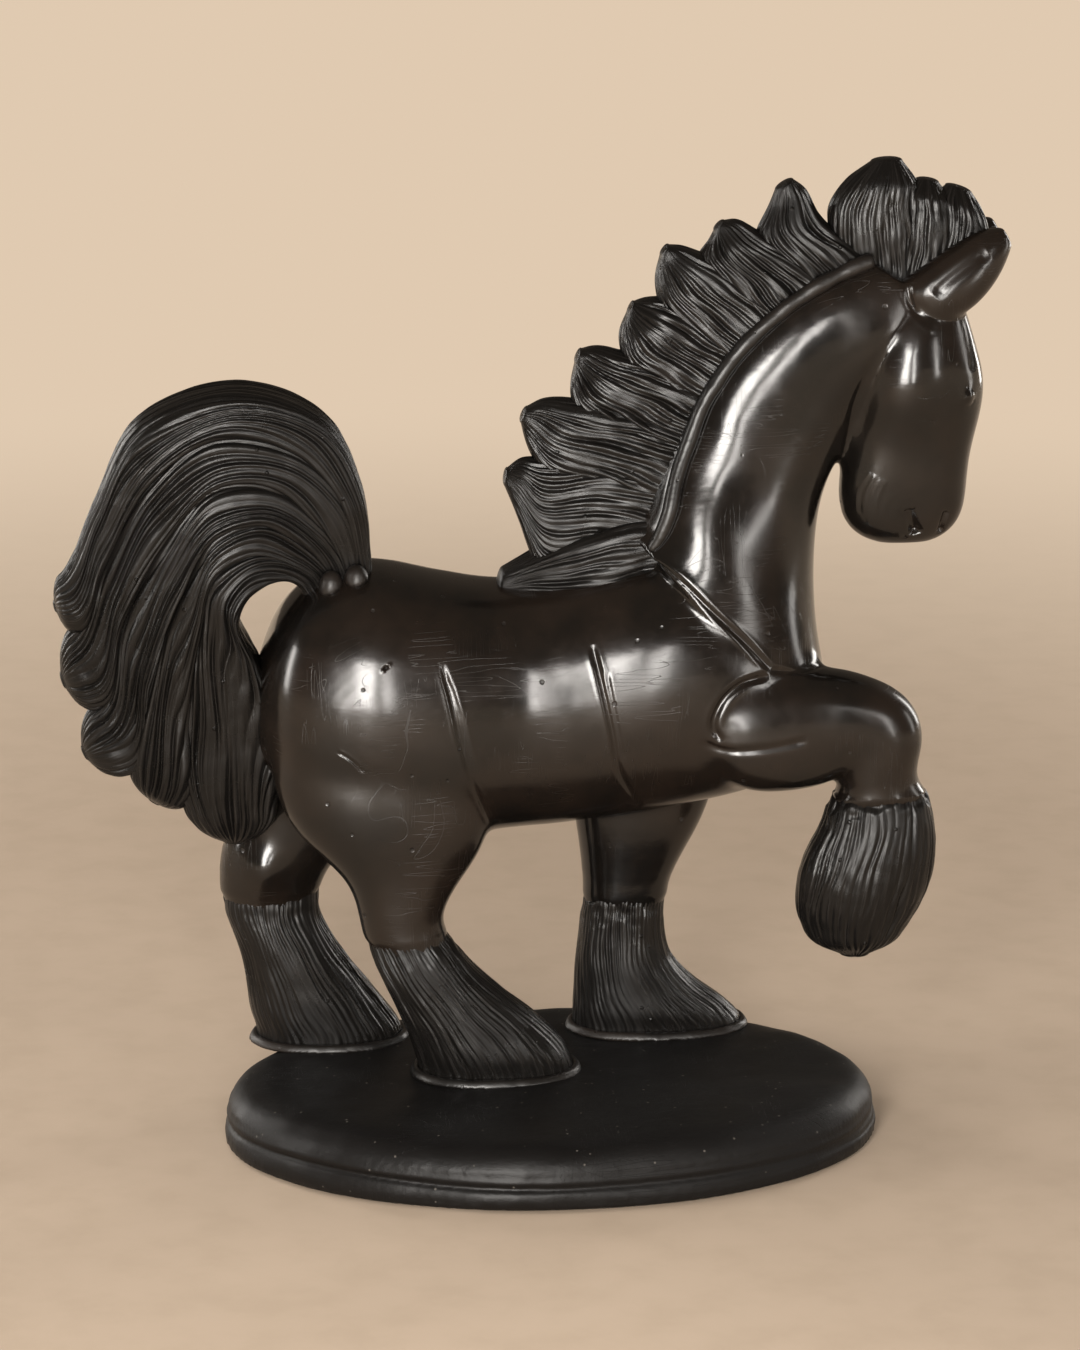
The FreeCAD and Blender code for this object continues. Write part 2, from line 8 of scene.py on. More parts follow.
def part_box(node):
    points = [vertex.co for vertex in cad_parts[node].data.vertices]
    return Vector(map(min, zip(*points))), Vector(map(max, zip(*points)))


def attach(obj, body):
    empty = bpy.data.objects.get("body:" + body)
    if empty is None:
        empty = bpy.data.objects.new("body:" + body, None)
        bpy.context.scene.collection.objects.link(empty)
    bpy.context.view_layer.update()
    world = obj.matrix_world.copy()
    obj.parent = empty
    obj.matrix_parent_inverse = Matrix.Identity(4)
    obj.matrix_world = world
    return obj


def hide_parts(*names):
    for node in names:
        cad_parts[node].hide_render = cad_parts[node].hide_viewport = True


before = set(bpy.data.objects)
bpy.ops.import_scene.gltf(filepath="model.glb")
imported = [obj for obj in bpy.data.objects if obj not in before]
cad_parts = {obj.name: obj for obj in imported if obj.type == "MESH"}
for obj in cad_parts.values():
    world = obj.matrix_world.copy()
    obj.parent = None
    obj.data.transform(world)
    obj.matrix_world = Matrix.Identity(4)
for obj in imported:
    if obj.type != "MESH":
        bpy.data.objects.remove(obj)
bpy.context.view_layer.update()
print("frame loaded,", len(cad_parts), "nodes")

mm = 0.001

# The figure's frame: shares are hundredths of the length along and up, and of the width across
figure = {"length": 250 * mm, "width": 56 * mm, "forward": 2 * mm, "setback": 18 * mm, "plinthTop": 16 * mm}


def place(along, up, across=0.0):
    return (figure["forward"] + figure["length"] * along / 100,
            figure["setback"] + figure["width"] * across / 100,
            figure["plinthTop"] + figure["length"] * up / 100)


# ---- camera and light
view = {"where": (-0.10116, -1.12271, 0.42523), "lookAt": (-0.0035, -0.0065, 0.125), "lens": 122.27,
        "photoWide": 1080, "photoHigh": 1350}


def aim(obj, target):
    obj.rotation_euler = (Vector(target) - obj.location).to_track_quat("-Z", "Y").to_euler()


cameraData = bpy.data.cameras.new("camera")
cameraData.lens = view["lens"]
cameraData.sensor_width = 36
cameraData.clip_start = 0.05
cameraData.clip_end = 50
camera = bpy.data.objects.new("camera", cameraData)
bpy.context.collection.objects.link(camera)
camera.location = view["where"]
aim(camera, view["lookAt"])
bpy.context.scene.camera = camera
bpy.context.view_layer.update()


def photoRay(x, y):
    # From the camera through a point of the photograph
    half = view["photoHigh"] / 2
    scale = 18 / view["lens"] / half
    spot = Vector(((x - view["photoWide"] / 2) * scale, (half - y) * scale, -1))
    turn = camera.matrix_world.to_3x3()
    return camera.location.copy(), (turn @ spot).normalized()


# Windows: turned from straight before the figure, at a distance, with their height and brightness
daylight = (1.0, 0.96, 0.91)
windows = {
    "leftWindow": {"turn": -16, "away": 0.8, "middle": 0.235, "wide": 0.19, "high": 0.43, "watts": 8.5},
    "rightWindow": {"turn": 0, "away": 0.85, "middle": 0.235, "wide": 0.07, "high": 0.43, "watts": 2.4},
    "sideWindow": {"turn": 38, "away": 0.85, "middle": 0.25, "wide": 0.07, "high": 0.4, "watts": 1.2},
    "faceWindow": {"turn": 92, "away": 1.0, "middle": 0.3, "wide": 0.14, "high": 0.45, "watts": 1.0},
    "tailWindow": {"turn": -88, "away": 1.1, "middle": 0.35, "wide": 0.16, "high": 0.5, "watts": 4},
    "farWindow": {"turn": 128, "away": 0.9, "middle": 0.3, "wide": 0.16, "high": 0.5, "watts": 2.4},
    "backWindow": {"turn": 230, "away": 0.9, "middle": 0.3, "wide": 0.2, "high": 0.5, "watts": 3.4},
}
skylight = {"from": (-0.5, 0.1, 1.3), "strength": 1.05, "spread": 55, "colour": (1.0, 0.97, 0.93)}


def addLamp(name, where, lookAt, wide, high, watts, colour):
    data = bpy.data.lights.new(name, "AREA")
    data.shape = "RECTANGLE"
    data.size = wide
    data.size_y = high
    data.energy = watts
    data.color = colour
    obj = bpy.data.objects.new(name, data)
    bpy.context.collection.objects.link(obj)
    obj.location = where
    aim(obj, lookAt)
    obj.visible_camera = False


for name, lamp in windows.items():
    turn = math.radians(lamp["turn"])
    where = (lamp["away"] * math.sin(turn), -lamp["away"] * math.cos(turn), lamp["middle"])
    addLamp(name, where, (0, 0, 0.13), lamp["wide"], lamp["high"], lamp["watts"], daylight)
sky = bpy.data.lights.new("skylight", "SUN")
sky.energy = skylight["strength"]
sky.angle = math.radians(skylight["spread"])
sky.color = skylight["colour"]
skyLamp = bpy.data.objects.new("skylight", sky)
bpy.context.collection.objects.link(skyLamp)
skyLamp.location = skylight["from"]
skyLamp.visible_glossy = False
aim(skyLamp, (0, 0, 0))

world = bpy.context.scene.world or bpy.data.worlds.new("room")
bpy.context.scene.world = world
world.use_nodes = True
world.node_tree.nodes["Background"].inputs["Color"].default_value = (0.90, 0.72, 0.55, 1)
world.node_tree.nodes["Background"].inputs["Strength"].default_value = 0.15
bpy.context.scene.view_settings.view_transform = "Standard"
print("camera and lamps set")


# ---- material helpers: what passes between nodes is a (node, output) pair
def setInput(tree, node, socket, value):
    if isinstance(value, tuple) and isinstance(value[0], bpy.types.Node):
        tree.links.new(value[0].outputs[value[1]], node.inputs[socket])
    else:
        node.inputs[socket].default_value = value


def addNode(tree, kind, inputs, **settings):
    node = tree.nodes.new(kind)
    for label, value in settings.items():
        setattr(node, label, value)
    for socket, value in inputs.items():
        setInput(tree, node, socket, value)
    return node


def addMath(tree, kind, *values):
    return addNode(tree, "ShaderNodeMath", dict(enumerate(values)), operation=kind), "Value"


def addRange(tree, value, fromLow, fromHigh, toLow=0.0, toHigh=1.0, kind="SMOOTHSTEP"):
    inputs = {"Value": value, "From Min": fromLow, "From Max": fromHigh, "To Min": toLow, "To Max": toHigh}
    return addNode(tree, "ShaderNodeMapRange", inputs, interpolation_type=kind), "Result"


def addNoise(tree, vector, scale, detail=3.0, roughness=0.55):
    inputs = {"Vector": vector, "Scale": scale, "Detail": detail, "Roughness": roughness}
    return addNode(tree, "ShaderNodeTexNoise", inputs), "Fac"


def addMapping(tree, vector, scale, turn=(0, 0, 0)):
    return addNode(tree, "ShaderNodeMapping", {"Vector": vector, "Scale": scale, "Rotation": turn}), "Vector"


def addColourMix(tree, factor, first, second):
    inputs = {"Factor": factor, 6: (*first, 1), 7: (*second, 1)}
    return addNode(tree, "ShaderNodeMix", inputs, data_type="RGBA"), 2


def addBump(tree, height, distance, before=None):
    inputs = {"Height": height, "Distance": distance, "Strength": 1.0}
    if before is not None:
        inputs["Normal"] = before
    return addNode(tree, "ShaderNodeBump", inputs), "Normal"


def addDents(tree, mask, depth, before):
    return addBump(tree, addMath(tree, "MULTIPLY", mask, -1.0), depth, before)


def newGroup(name, outputs, **values):
    # A node group that takes a place and some numbers
    group = bpy.data.node_groups.new(name, "ShaderNodeTree")
    group.interface.new_socket("Vector", in_out="INPUT", socket_type="NodeSocketVector")
    for label, value in values.items():
        socket = group.interface.new_socket(label, in_out="INPUT", socket_type="NodeSocketFloat")
        socket.default_value = value
    for label in outputs:
        group.interface.new_socket(label, in_out="OUTPUT", socket_type="NodeSocketFloat")
    return group, group.nodes.new("NodeGroupInput"), group.nodes.new("NodeGroupOutput")


def useGroup(tree, group, vector, **values):
    return addNode(tree, "ShaderNodeGroup", {"Vector": vector, **values}, node_tree=group)


# Fine burnishing scratches in three directions: the thin contour lines of drawn-out noise, in patches
scratches = {"fields": (((0.3, 0.9, 0.2), (70, 900, 70)), ((1.1, -0.5, 0.8), (60, 60, 800)),
                        ((-0.4, 0.2, 1.3), (760, 60, 60))),
             "patchScale": 38.0, "patchStep": 9, "patchFrom": 0.56, "patchFull": 0.66, "width": 0.008}


def makeScratchGroup():
    group, start, end = newGroup("burnishScratches", ["Mask"], Width=scratches["width"])
    masks = []
    for number, (turn, scale) in enumerate(scratches["fields"]):
        noise = addNoise(group, addMapping(group, (start, "Vector"), scale, turn), 1.0, detail=0.0)
        off = addMath(group, "ABSOLUTE", addMath(group, "SUBTRACT", noise, 0.5))
        line = addMath(group, "LESS_THAN", off, (start, "Width"))
        scale = scratches["patchScale"] + scratches["patchStep"] * number
        patches = addNoise(group, (start, "Vector"), scale, detail=1.0)
        patch = addRange(group, patches, scratches["patchFrom"], scratches["patchFull"])
        masks.append(addMath(group, "MULTIPLY", line, patch))
    both = addMath(group, "MAXIMUM", masks[0], masks[1])
    setInput(group, end, "Mask", addMath(group, "MAXIMUM", both, masks[2]))
    return group


# Small pits and specks, thinly sown
pit = {"scale": 260.0, "share": 0.12, "deepWithin": 0.10, "goneBeyond": 0.26}


def makePitGroup():
    group, start, end = newGroup("pinPits", ["Mask"], Scale=pit["scale"], Share=pit["share"])
    inputs = {"Vector": (start, "Vector"), "Scale": (start, "Scale")}
    cells = addNode(group, "ShaderNodeTexVoronoi", inputs)
    near = addRange(group, (cells, "Distance"), pit["deepWithin"], pit["goneBeyond"], 1.0, 0.0)
    chance = addNode(group, "ShaderNodeSeparateColor", {"Color": (cells, "Color")})
    kept = addMath(group, "LESS_THAN", (chance, "Red"), (start, "Share"))
    setInput(group, end, "Mask", addMath(group, "MULTIPLY", near, kept))
    return group


# Soft unevenness left by hands and by the burnishing stone
hands = {"scale": 60.0, "drawn": (1.0, 1.0, 2.6), "drawnTurn": (0, 0.35, 0), "streakScale": 150.0,
         "streakShare": 0.28, "patchScale": 24.0, "patchFrom": 0.38, "patchFull": 0.66}


def makeHandGroup():
    group, start, end = newGroup("handMarks", ["Height", "Patches"], Scale=hands["scale"])
    broad = addNoise(group, (start, "Vector"), (start, "Scale"), detail=2.0, roughness=0.5)
    drawn = addMapping(group, (start, "Vector"), hands["drawn"], hands["drawnTurn"])
    streaks = addMath(group, "MULTIPLY", addNoise(group, drawn, hands["streakScale"]), hands["streakShare"])
    setInput(group, end, "Height", addMath(group, "ADD", broad, streaks))
    patches = addNoise(group, (start, "Vector"), hands["patchScale"], detail=5.0, roughness=0.62)
    setInput(group, end, "Patches", addRange(group, patches, hands["patchFrom"], hands["patchFull"]))
    return group


scratchGroup = makeScratchGroup()
pitGroup = makePitGroup()
handGroup = makeHandGroup()


def newMaterial(name):
    material = bpy.data.materials.new(name)
    material.use_nodes = True
    tree = material.node_tree
    return material, tree, tree.nodes["Principled BSDF"], tree.nodes.new("ShaderNodeTexCoord")


def handRoughness(tree, hand, settings):
    return addRange(tree, (hand, "Patches"), 0.0, 1.0, settings["smooth"], settings["dull"], "LINEAR")


def finishShader(tree, shader, tint, rough, normal):
    for socket, source in (("Base Color", tint), ("Roughness", rough), ("Normal", normal)):
        setInput(tree, shader, socket, source)


burnish = {"black": (0.0042, 0.0036, 0.0031), "brown": (0.0105, 0.0070, 0.0050), "smooth": 0.13, "dull": 0.25,
           "handScale": 58.0, "handHeight": 0.10 * mm, "scratchDepth": 0.010 * mm, "scratchDull": 0.12,
           "pitScale": 330.0, "pitShare": 0.035, "pitDepth": 0.12 * mm, "pitDull": 0.3}


def makeBurnishedClay():
    material, tree, shader, coords = newMaterial("burnishedClay")
    spot = (coords, "Object")
    hand = useGroup(tree, handGroup, spot, Scale=burnish["handScale"])
    scratch = (useGroup(tree, scratchGroup, spot, Width=scratches["width"]), "Mask")
    pits = (useGroup(tree, pitGroup, spot, Scale=burnish["pitScale"], Share=burnish["pitShare"]), "Mask")
    tint = addColourMix(tree, (hand, "Patches"), burnish["black"], burnish["brown"])
    rough = addMath(tree, "MULTIPLY_ADD", scratch, burnish["scratchDull"], handRoughness(tree, hand, burnish))
    rough = addMath(tree, "MULTIPLY_ADD", pits, burnish["pitDull"], rough)
    normal = addBump(tree, (hand, "Height"), burnish["handHeight"])
    normal = addDents(tree, scratch, burnish["scratchDepth"], normal)
    normal = addDents(tree, pits, burnish["pitDepth"], normal)
    finishShader(tree, shader, tint, rough, normal)
    return material


comb = {"black": (0.0045, 0.004, 0.0036), "worn": (0.013, 0.0115, 0.0105), "smooth": 0.22, "dull": 0.40,
        "handScale": 120.0, "drawn": (1.0, 0.045, 1.0), "lineScale": 14.0, "lineHeight": 0.12 * mm,
        "wornFrom": 0.45, "wornFull": 0.75, "crumbScale": 420.0, "crumbShare": 0.05, "crumbHeight": 0.25 * mm,
        "shine": 0.26}


def makeCombedClay():
    material, tree, shader, coords = newMaterial("combedClay")
    shader.inputs["Specular IOR Level"].default_value = comb["shine"]
    drawn = addMapping(tree, (coords, "UV"), comb["drawn"])
    lines = addNoise(tree, drawn, comb["lineScale"], detail=4.0, roughness=0.6)
    crumbs = useGroup(tree, pitGroup, (coords, "Object"), Scale=comb["crumbScale"], Share=comb["crumbShare"])
    hand = useGroup(tree, handGroup, (coords, "Object"), Scale=comb["handScale"])
    worn = addRange(tree, lines, comb["wornFrom"], comb["wornFull"])
    tint = addColourMix(tree, worn, comb["black"], comb["worn"])
    normal = addBump(tree, lines, comb["lineHeight"])
    normal = addBump(tree, (crumbs, "Mask"), comb["crumbHeight"], normal)
    finishShader(tree, shader, tint, handRoughness(tree, hand, comb), normal)
    return material


plinthClay = {"black": (0.0045, 0.004, 0.0038), "dust": (0.10, 0.09, 0.078), "smooth": 0.42, "dull": 0.58,
              "handScale": 42.0, "handHeight": 0.4 * mm, "grainScale": 900.0, "grainHeight": 0.05 * mm,
              "dustScale": 620.0, "dustShare": 0.05, "dustiness": 0.7,
              "scratchDepth": 0.05 * mm, "shine": 0.22}


def makePlinthClay():
    material, tree, shader, coords = newMaterial("plinthClay")
    shader.inputs["Specular IOR Level"].default_value = plinthClay["shine"]
    spot = (coords, "Object")
    hand = useGroup(tree, handGroup, spot, Scale=plinthClay["handScale"])
    dust = useGroup(tree, pitGroup, spot, Scale=plinthClay["dustScale"], Share=plinthClay["dustShare"])
    dusty = addMath(tree, "MULTIPLY", (dust, "Mask"), plinthClay["dustiness"])
    tint = addColourMix(tree, dusty, plinthClay["black"], plinthClay["dust"])
    grain = addNoise(tree, spot, plinthClay["grainScale"], detail=2.0)
    normal = addBump(tree, (hand, "Height"), plinthClay["handHeight"])
    normal = addBump(tree, grain, plinthClay["grainHeight"], normal)
    scratch = (useGroup(tree, scratchGroup, spot, Width=scratches["width"]), "Mask")
    normal = addDents(tree, scratch, plinthClay["scratchDepth"], normal)
    finishShader(tree, shader, tint, handRoughness(tree, hand, plinthClay), normal)
    return material


slip = {"smooth": 0.36, "dull": 0.52, "handScale": 160.0, "handHeight": 0.3 * mm, "pitScale": 500.0,
        "pitShare": 0.12, "pitDepth": 0.15 * mm}


def makeSlipClay():
    material, tree, shader, coords = newMaterial("slipClay")
    spot = (coords, "Object")
    hand = useGroup(tree, handGroup, spot, Scale=slip["handScale"])
    pits = (useGroup(tree, pitGroup, spot, Scale=slip["pitScale"], Share=slip["pitShare"]), "Mask")
    tint = addColourMix(tree, (hand, "Patches"), comb["black"], burnish["brown"])
    normal = addBump(tree, (hand, "Height"), slip["handHeight"])
    normal = addDents(tree, pits, slip["pitDepth"], normal)
    finishShader(tree, shader, tint, handRoughness(tree, hand, slip), normal)
    return material


clay = {"burnished_clay": makeBurnishedClay(), "combed_clay": makeCombedClay(),
        "plinth_clay": makePlinthClay(), "slip_clay": makeSlipClay()}
print("materials made")


# ---- mesh helpers
def choose(*objs):
    if bpy.context.object is not None and bpy.context.object.mode == "EDIT":
        bpy.ops.object.mode_set(mode="OBJECT")
    bpy.ops.object.select_all(action="DESELECT")
    for obj in objs:
        obj.select_set(True)
    bpy.context.view_layer.objects.active = objs[0]


def applyModifier(obj, kind, **settings):
    choose(obj)
    bpy.ops.object.modifier_add(type=kind)
    modifier = obj.modifiers[-1]
    for label, value in settings.items():
        setattr(modifier, label, value)
    bpy.ops.object.modifier_apply(modifier=modifier.name)


def remesh(obj, voxel):
    applyModifier(obj, "REMESH", mode="VOXEL", voxel_size=voxel, adaptivity=0.0)


def smooth(obj, rounds, group=""):
    applyModifier(obj, "SMOOTH", factor=0.5, iterations=rounds, vertex_group=group)


def readVectors(items, label):
    values = np.empty(len(items) * 3, dtype=np.float32)
    items.foreach_get(label, values)
    return values.reshape(-1, 3).astype(np.float64)


def readPoints(obj):
    return readVectors(obj.data.vertices, "co")


def readNormals(obj):
    return readVectors(obj.data.vertices, "normal")


def faceCentres(obj):
    return readVectors(obj.data.polygons, "center")


def writePoints(obj, points):
    obj.data.vertices.foreach_set("co", np.asarray(points, dtype=np.float32).ravel())
    obj.data.update()


weld = {"copies": 0.005 * mm, "locks": 0.002 * mm}


def copyNodes(names, title):
    # A joined copy of CAD nodes, its loose triangles merged; replaced nodes are hidden, so the copy is shown
    bpy.ops.object.select_all(action="DESELECT")
    copies = []
    for name in names:
        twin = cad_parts[name].copy()
        twin.data = twin.data.copy()
        for key in list(twin.keys()):
            del twin[key]
        twin.parent = None
        twin.hide_render = False
        twin.hide_viewport = False
        bpy.context.collection.objects.link(twin)
        copies.append(twin)
    choose(*copies)
    if len(copies) > 1:
        bpy.ops.object.join()
    joined = bpy.context.object
    joined.name = title
    bpy.ops.object.mode_set(mode="EDIT")
    bpy.ops.mesh.select_all(action="SELECT")
    bpy.ops.mesh.remove_doubles(threshold=weld["copies"])
    bpy.ops.object.mode_set(mode="OBJECT")
    return joined


def finishPiece(piece, node, slotName):
    piece.name = node + "Clay"
    piece.data.materials.clear()
    piece.data.materials.append(clay[slotName])
    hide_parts(node)
    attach(piece, "root")


def waves(points, size, seed):
    # Smooth random unevenness from about -1 to 1, with bumps of about the given size
    chance = np.random.RandomState(seed)
    total = np.zeros(len(points))
    for step in range(14):
        heading = chance.normal(size=3)
        heading *= 2 * math.pi / (size * (0.7 + 0.9 * chance.rand())) / np.linalg.norm(heading)
        total += np.sin(points @ heading + chance.rand() * 2 * math.pi)
    return total / 4.0


# ---- the figure's sections, as the clay was built: fore outline, aft outline, middle across, half width
rightForeFeatherShares = [
    (38.3, 29.6, 28.2, 29.2, -28, 17),
    (39.0, 26.6, 27.4, 26.4, -28, 19),
    (39.3, 22.8, 25.6, 22.6, -28, 21),
    (38.6, 19.2, 24.8, 19.0, -28, 21),
    (36.9, 15.8, 25.2, 15.6, -28, 18),
    (34.9, 13.2, 26.9, 13.2, -28, 13),
    (32.6, 12.0, 29.4, 12.0, -28, 6),
]
leftForeFeatherShares = [
    (12.9, 15.8, 3.8, 15.8, 30, 17),
    (12.5, 12.0, 3.5, 12.0, 30, 17),
    (13.4, 8.0, 3.1, 8.0, 31, 20),
    (16.2, 4.8, 2.9, 4.8, 32, 22),
    (19.4, 2.4, 2.8, 2.4, 32, 23),
    (20.8, 0.8, 2.8, 0.8, 32, 22),
]
rightHindFeatherShares = [
    (-11.8, 16.2, -20.4, 15.6, -26, 17),
    (-9.2, 12.2, -18.9, 11.8, -26, 19),
    (-5.2, 8.4, -17.2, 8.0, -26, 21),
    (-1.6, 5.4, -15.9, 5.0, -26, 23),
    (0.8, 2.6, -15.0, 2.4, -26, 24),
    (1.6, 0.8, -14.6, 0.8, -26, 23),
]
leftHindFeatherShares = [
    (-23.8, 17.8, -34.8, 17.4, 27, 17),
    (-24.2, 14.6, -34.2, 14.4, 27, 17),
    (-22.6, 11.0, -33.0, 11.0, 27, 19),
    (-20.2, 7.4, -32.2, 7.4, 28, 21),
    (-17.4, 3.8, -31.8, 3.8, 28, 22),
    (-15.6, 0.8, -31.0, 0.8, 28, 22),
]
forelockShares = [
    [(36.8, 82.0, 30.6, 82.2, 0, 11), (37.4, 86.0, 28.6, 86.4, 0, 12), (37.2, 89.4, 28.4, 89.6, 0, 12),
     (36.8, 92.0, 30.0, 92.2, 0, 11), (35.4, 94.0, 32.2, 93.9, 0, 6)],
    [(39.2, 82.0, 35.6, 82.4, 0, 13), (40.2, 85.6, 35.8, 86.6, 0, 14), (40.4, 88.8, 35.9, 89.6, 0, 13),
     (40.0, 90.6, 36.0, 91.2, 0, 11), (39.2, 91.7, 36.8, 92.0, 0, 6)],
    [(40.8, 80.8, 38.0, 82.0, 0, 11), (42.8, 83.8, 39.2, 85.6, 0, 13), (44.2, 86.8, 39.3, 89.0, 0, 12),
     (43.6, 89.0, 39.2, 90.6, 0, 10), (42.6, 90.6, 39.9, 91.4, 0, 6)],
]
maneShares = [
    [(33.0, 82.6, 27.4, 79.6, 0, 15), (30.4, 86.0, 24.4, 83.8, 0, 15), (27.7, 88.9, 21.8, 87.1, 0, 11),
     (25.4, 91.4, 22.4, 89.8, 0, 7), (24.0, 92.0, 23.0, 91.4, 0, 3)],
    [(28.4, 80.6, 22.8, 76.6, 0, 18), (25.0, 84.6, 19.0, 81.4, 0, 15), (21.5, 87.2, 16.0, 85.2, 0, 11),
     (18.4, 88.2, 16.2, 86.4, 0, 7), (17.2, 87.9, 16.6, 87.3, 0, 3)],
    [(23.6, 77.6, 19.2, 73.0, 0, 18), (19.6, 82.0, 15.0, 77.4, 0, 15), (15.6, 85.2, 11.4, 81.3, 0, 11),
     (12.8, 85.6, 10.8, 83.4, 0, 7), (11.6, 85.5, 11.1, 84.9, 0, 3)],
    [(19.8, 73.8, 16.0, 69.0, 0, 18), (15.4, 77.8, 11.4, 72.6, 0, 15), (11.2, 80.9, 7.6, 75.8, 0, 11),
     (9.0, 80.2, 7.2, 77.8, 0, 7), (8.1, 79.7, 7.7, 79.0, 0, 3)],
    [(16.6, 69.8, 13.8, 64.6, 0, 18), (12.0, 73.2, 8.0, 67.6, 0, 15), (7.4, 75.4, 2.8, 70.9, 0, 11),
     (4.0, 75.4, 2.2, 72.8, 0, 7), (2.8, 74.9, 2.4, 74.1, 0, 3)],
    [(14.4, 65.4, 12.0, 60.0, 0, 18), (8.8, 68.8, 5.0, 62.6, 0, 15), (2.6, 70.6, -1.1, 64.8, 0, 11),
     (-1.4, 69.9, -2.8, 67.0, 0, 7), (-2.7, 69.0, -3.1, 68.1, 0, 3)],
    [(12.6, 60.8, 10.2, 55.4, 0, 18), (6.0, 63.6, 3.6, 57.4, 0, 15), (-1.1, 64.4, -1.4, 57.4, 0, 12),
     (-3.7, 63.6, -4.0, 60.4, 0, 8), (-4.7, 62.6, -4.9, 61.6, 0, 3)],
    [(11.6, 57.6, 10.4, 51.0, 0, 22), (6.2, 57.6, 5.4, 50.6, 0, 22), (1.4, 56.4, 0.6, 50.2, 0, 18),
     (-2.2, 54.0, -2.8, 50.2, 0, 13), (-5.2, 52.0, -5.4, 50.4, 0, 6)],
]
tailLineShares = [
    [(-18.6, 49.0), (-18.8, 54.8), (-19.6, 61.6), (-22.8, 68.2),
     (-31.8, 72.0), (-42.0, 68.8), (-46.8, 60.2), (-50.3, 52.8)],
    [(-19.8, 49.0), (-20.2, 54.2), (-22.0, 60.8), (-26.2, 65.6),
     (-34.2, 67.4), (-41.2, 62.6), (-45.8, 54.2), (-49.0, 47.0)],
    [(-21.0, 48.8), (-21.6, 53.6), (-24.4, 58.4), (-28.4, 61.8),
     (-34.4, 62.0), (-39.6, 56.6), (-44.0, 48.0), (-46.6, 39.0)],
    [(-22.2, 48.4), (-23.0, 52.8), (-26.0, 56.2), (-29.8, 58.4),
     (-34.6, 57.2), (-38.2, 51.0), (-41.4, 41.8), (-43.6, 32.0)],
    [(-23.6, 48.2), (-24.6, 52.2), (-27.2, 54.2), (-30.6, 55.2),
     (-34.6, 53.0), (-36.2, 47.2), (-37.6, 38.2), (-38.2, 28.6)],
    [(-25.2, 48.0), (-26.4, 51.6), (-28.4, 52.2), (-31.0, 50.8),
     (-32.4, 47.8), (-31.6, 43.4), (-30.0, 36.8), (-29.8, 28.2)],
]
tailHalfShares = [13, 16, 20, 23, 25, 23, 19, 13]
tailTipShares = [(-51.0, 49.4), (-50.4, 41.6), (-48.4, 33.8), (-41.4, 28.4), (-33.2, 23.8)]
tailEndShares = [(0.5, 0.84), (0.85, 0.5), (1.0, 0.2)]



def travelAlong(points, least=0.0):
    # How far along a line of points each one lies
    return np.concatenate([[0], np.cumsum(np.linalg.norm(np.diff(points, axis=0), axis=1) + least)])


def smoothCurve(values, travel, where):
    # A smooth curve through all the values, read at places along it
    if len(values) > 2:
        slopes = np.gradient(values, travel, axis=0)
    else:
        slopes = np.tile((values[-1] - values[0]) / travel[-1], (2, 1))
    index = np.clip(np.searchsorted(travel, where, side="right") - 1, 0, len(values) - 2)
    gap = (travel[index + 1] - travel[index])[:, None]
    t = (where[:, None] - travel[index][:, None]) / gap
    low, high = values[index], values[index + 1]
    return ((2 * t ** 3 - 3 * t ** 2 + 1) * low + (t ** 3 - 2 * t ** 2 + t) * gap * slopes[index]
            + (3 * t ** 2 - 2 * t ** 3) * high + (t ** 3 - t ** 2) * gap * slopes[index + 1])


def smoothRows(rows, count):
    # The rows joined by a smooth curve through all of them, at even steps along it
    rows = np.array(rows, dtype=float)
    travel = travelAlong((rows[:, 0:2] + rows[:, 2:4]) / 2, 0.2)
    return smoothCurve(rows, travel, np.linspace(0, travel[-1], count))


def ringPoints(row, fullness, count, spread=0.0):
    # One closed section, its points evenly spaced round it
    turn = np.linspace(0, 2 * math.pi, 721)
    size = (np.abs(np.cos(turn)) ** fullness + np.abs(np.sin(turn)) ** fullness) ** (-1 / fullness)
    fore = np.array(place(row[0], row[1], row[4]))
    aft = np.array(place(row[2], row[3], row[4]))
    half = figure["width"] * row[5] / 100
    reach = (fore - aft) / 2 * (1 + spread)
    points = ((fore + aft) / 2 + reach * (size * np.cos(turn))[:, None]
              + np.array([0, 1, 0]) * (half * size * np.sin(turn))[:, None])
    travel = travelAlong(points)
    where = np.linspace(0, travel[-1], count + 1)[:-1]
    return np.stack([np.interp(where, travel, points[:, axis]) for axis in range(3)], axis=1), travel[-1]


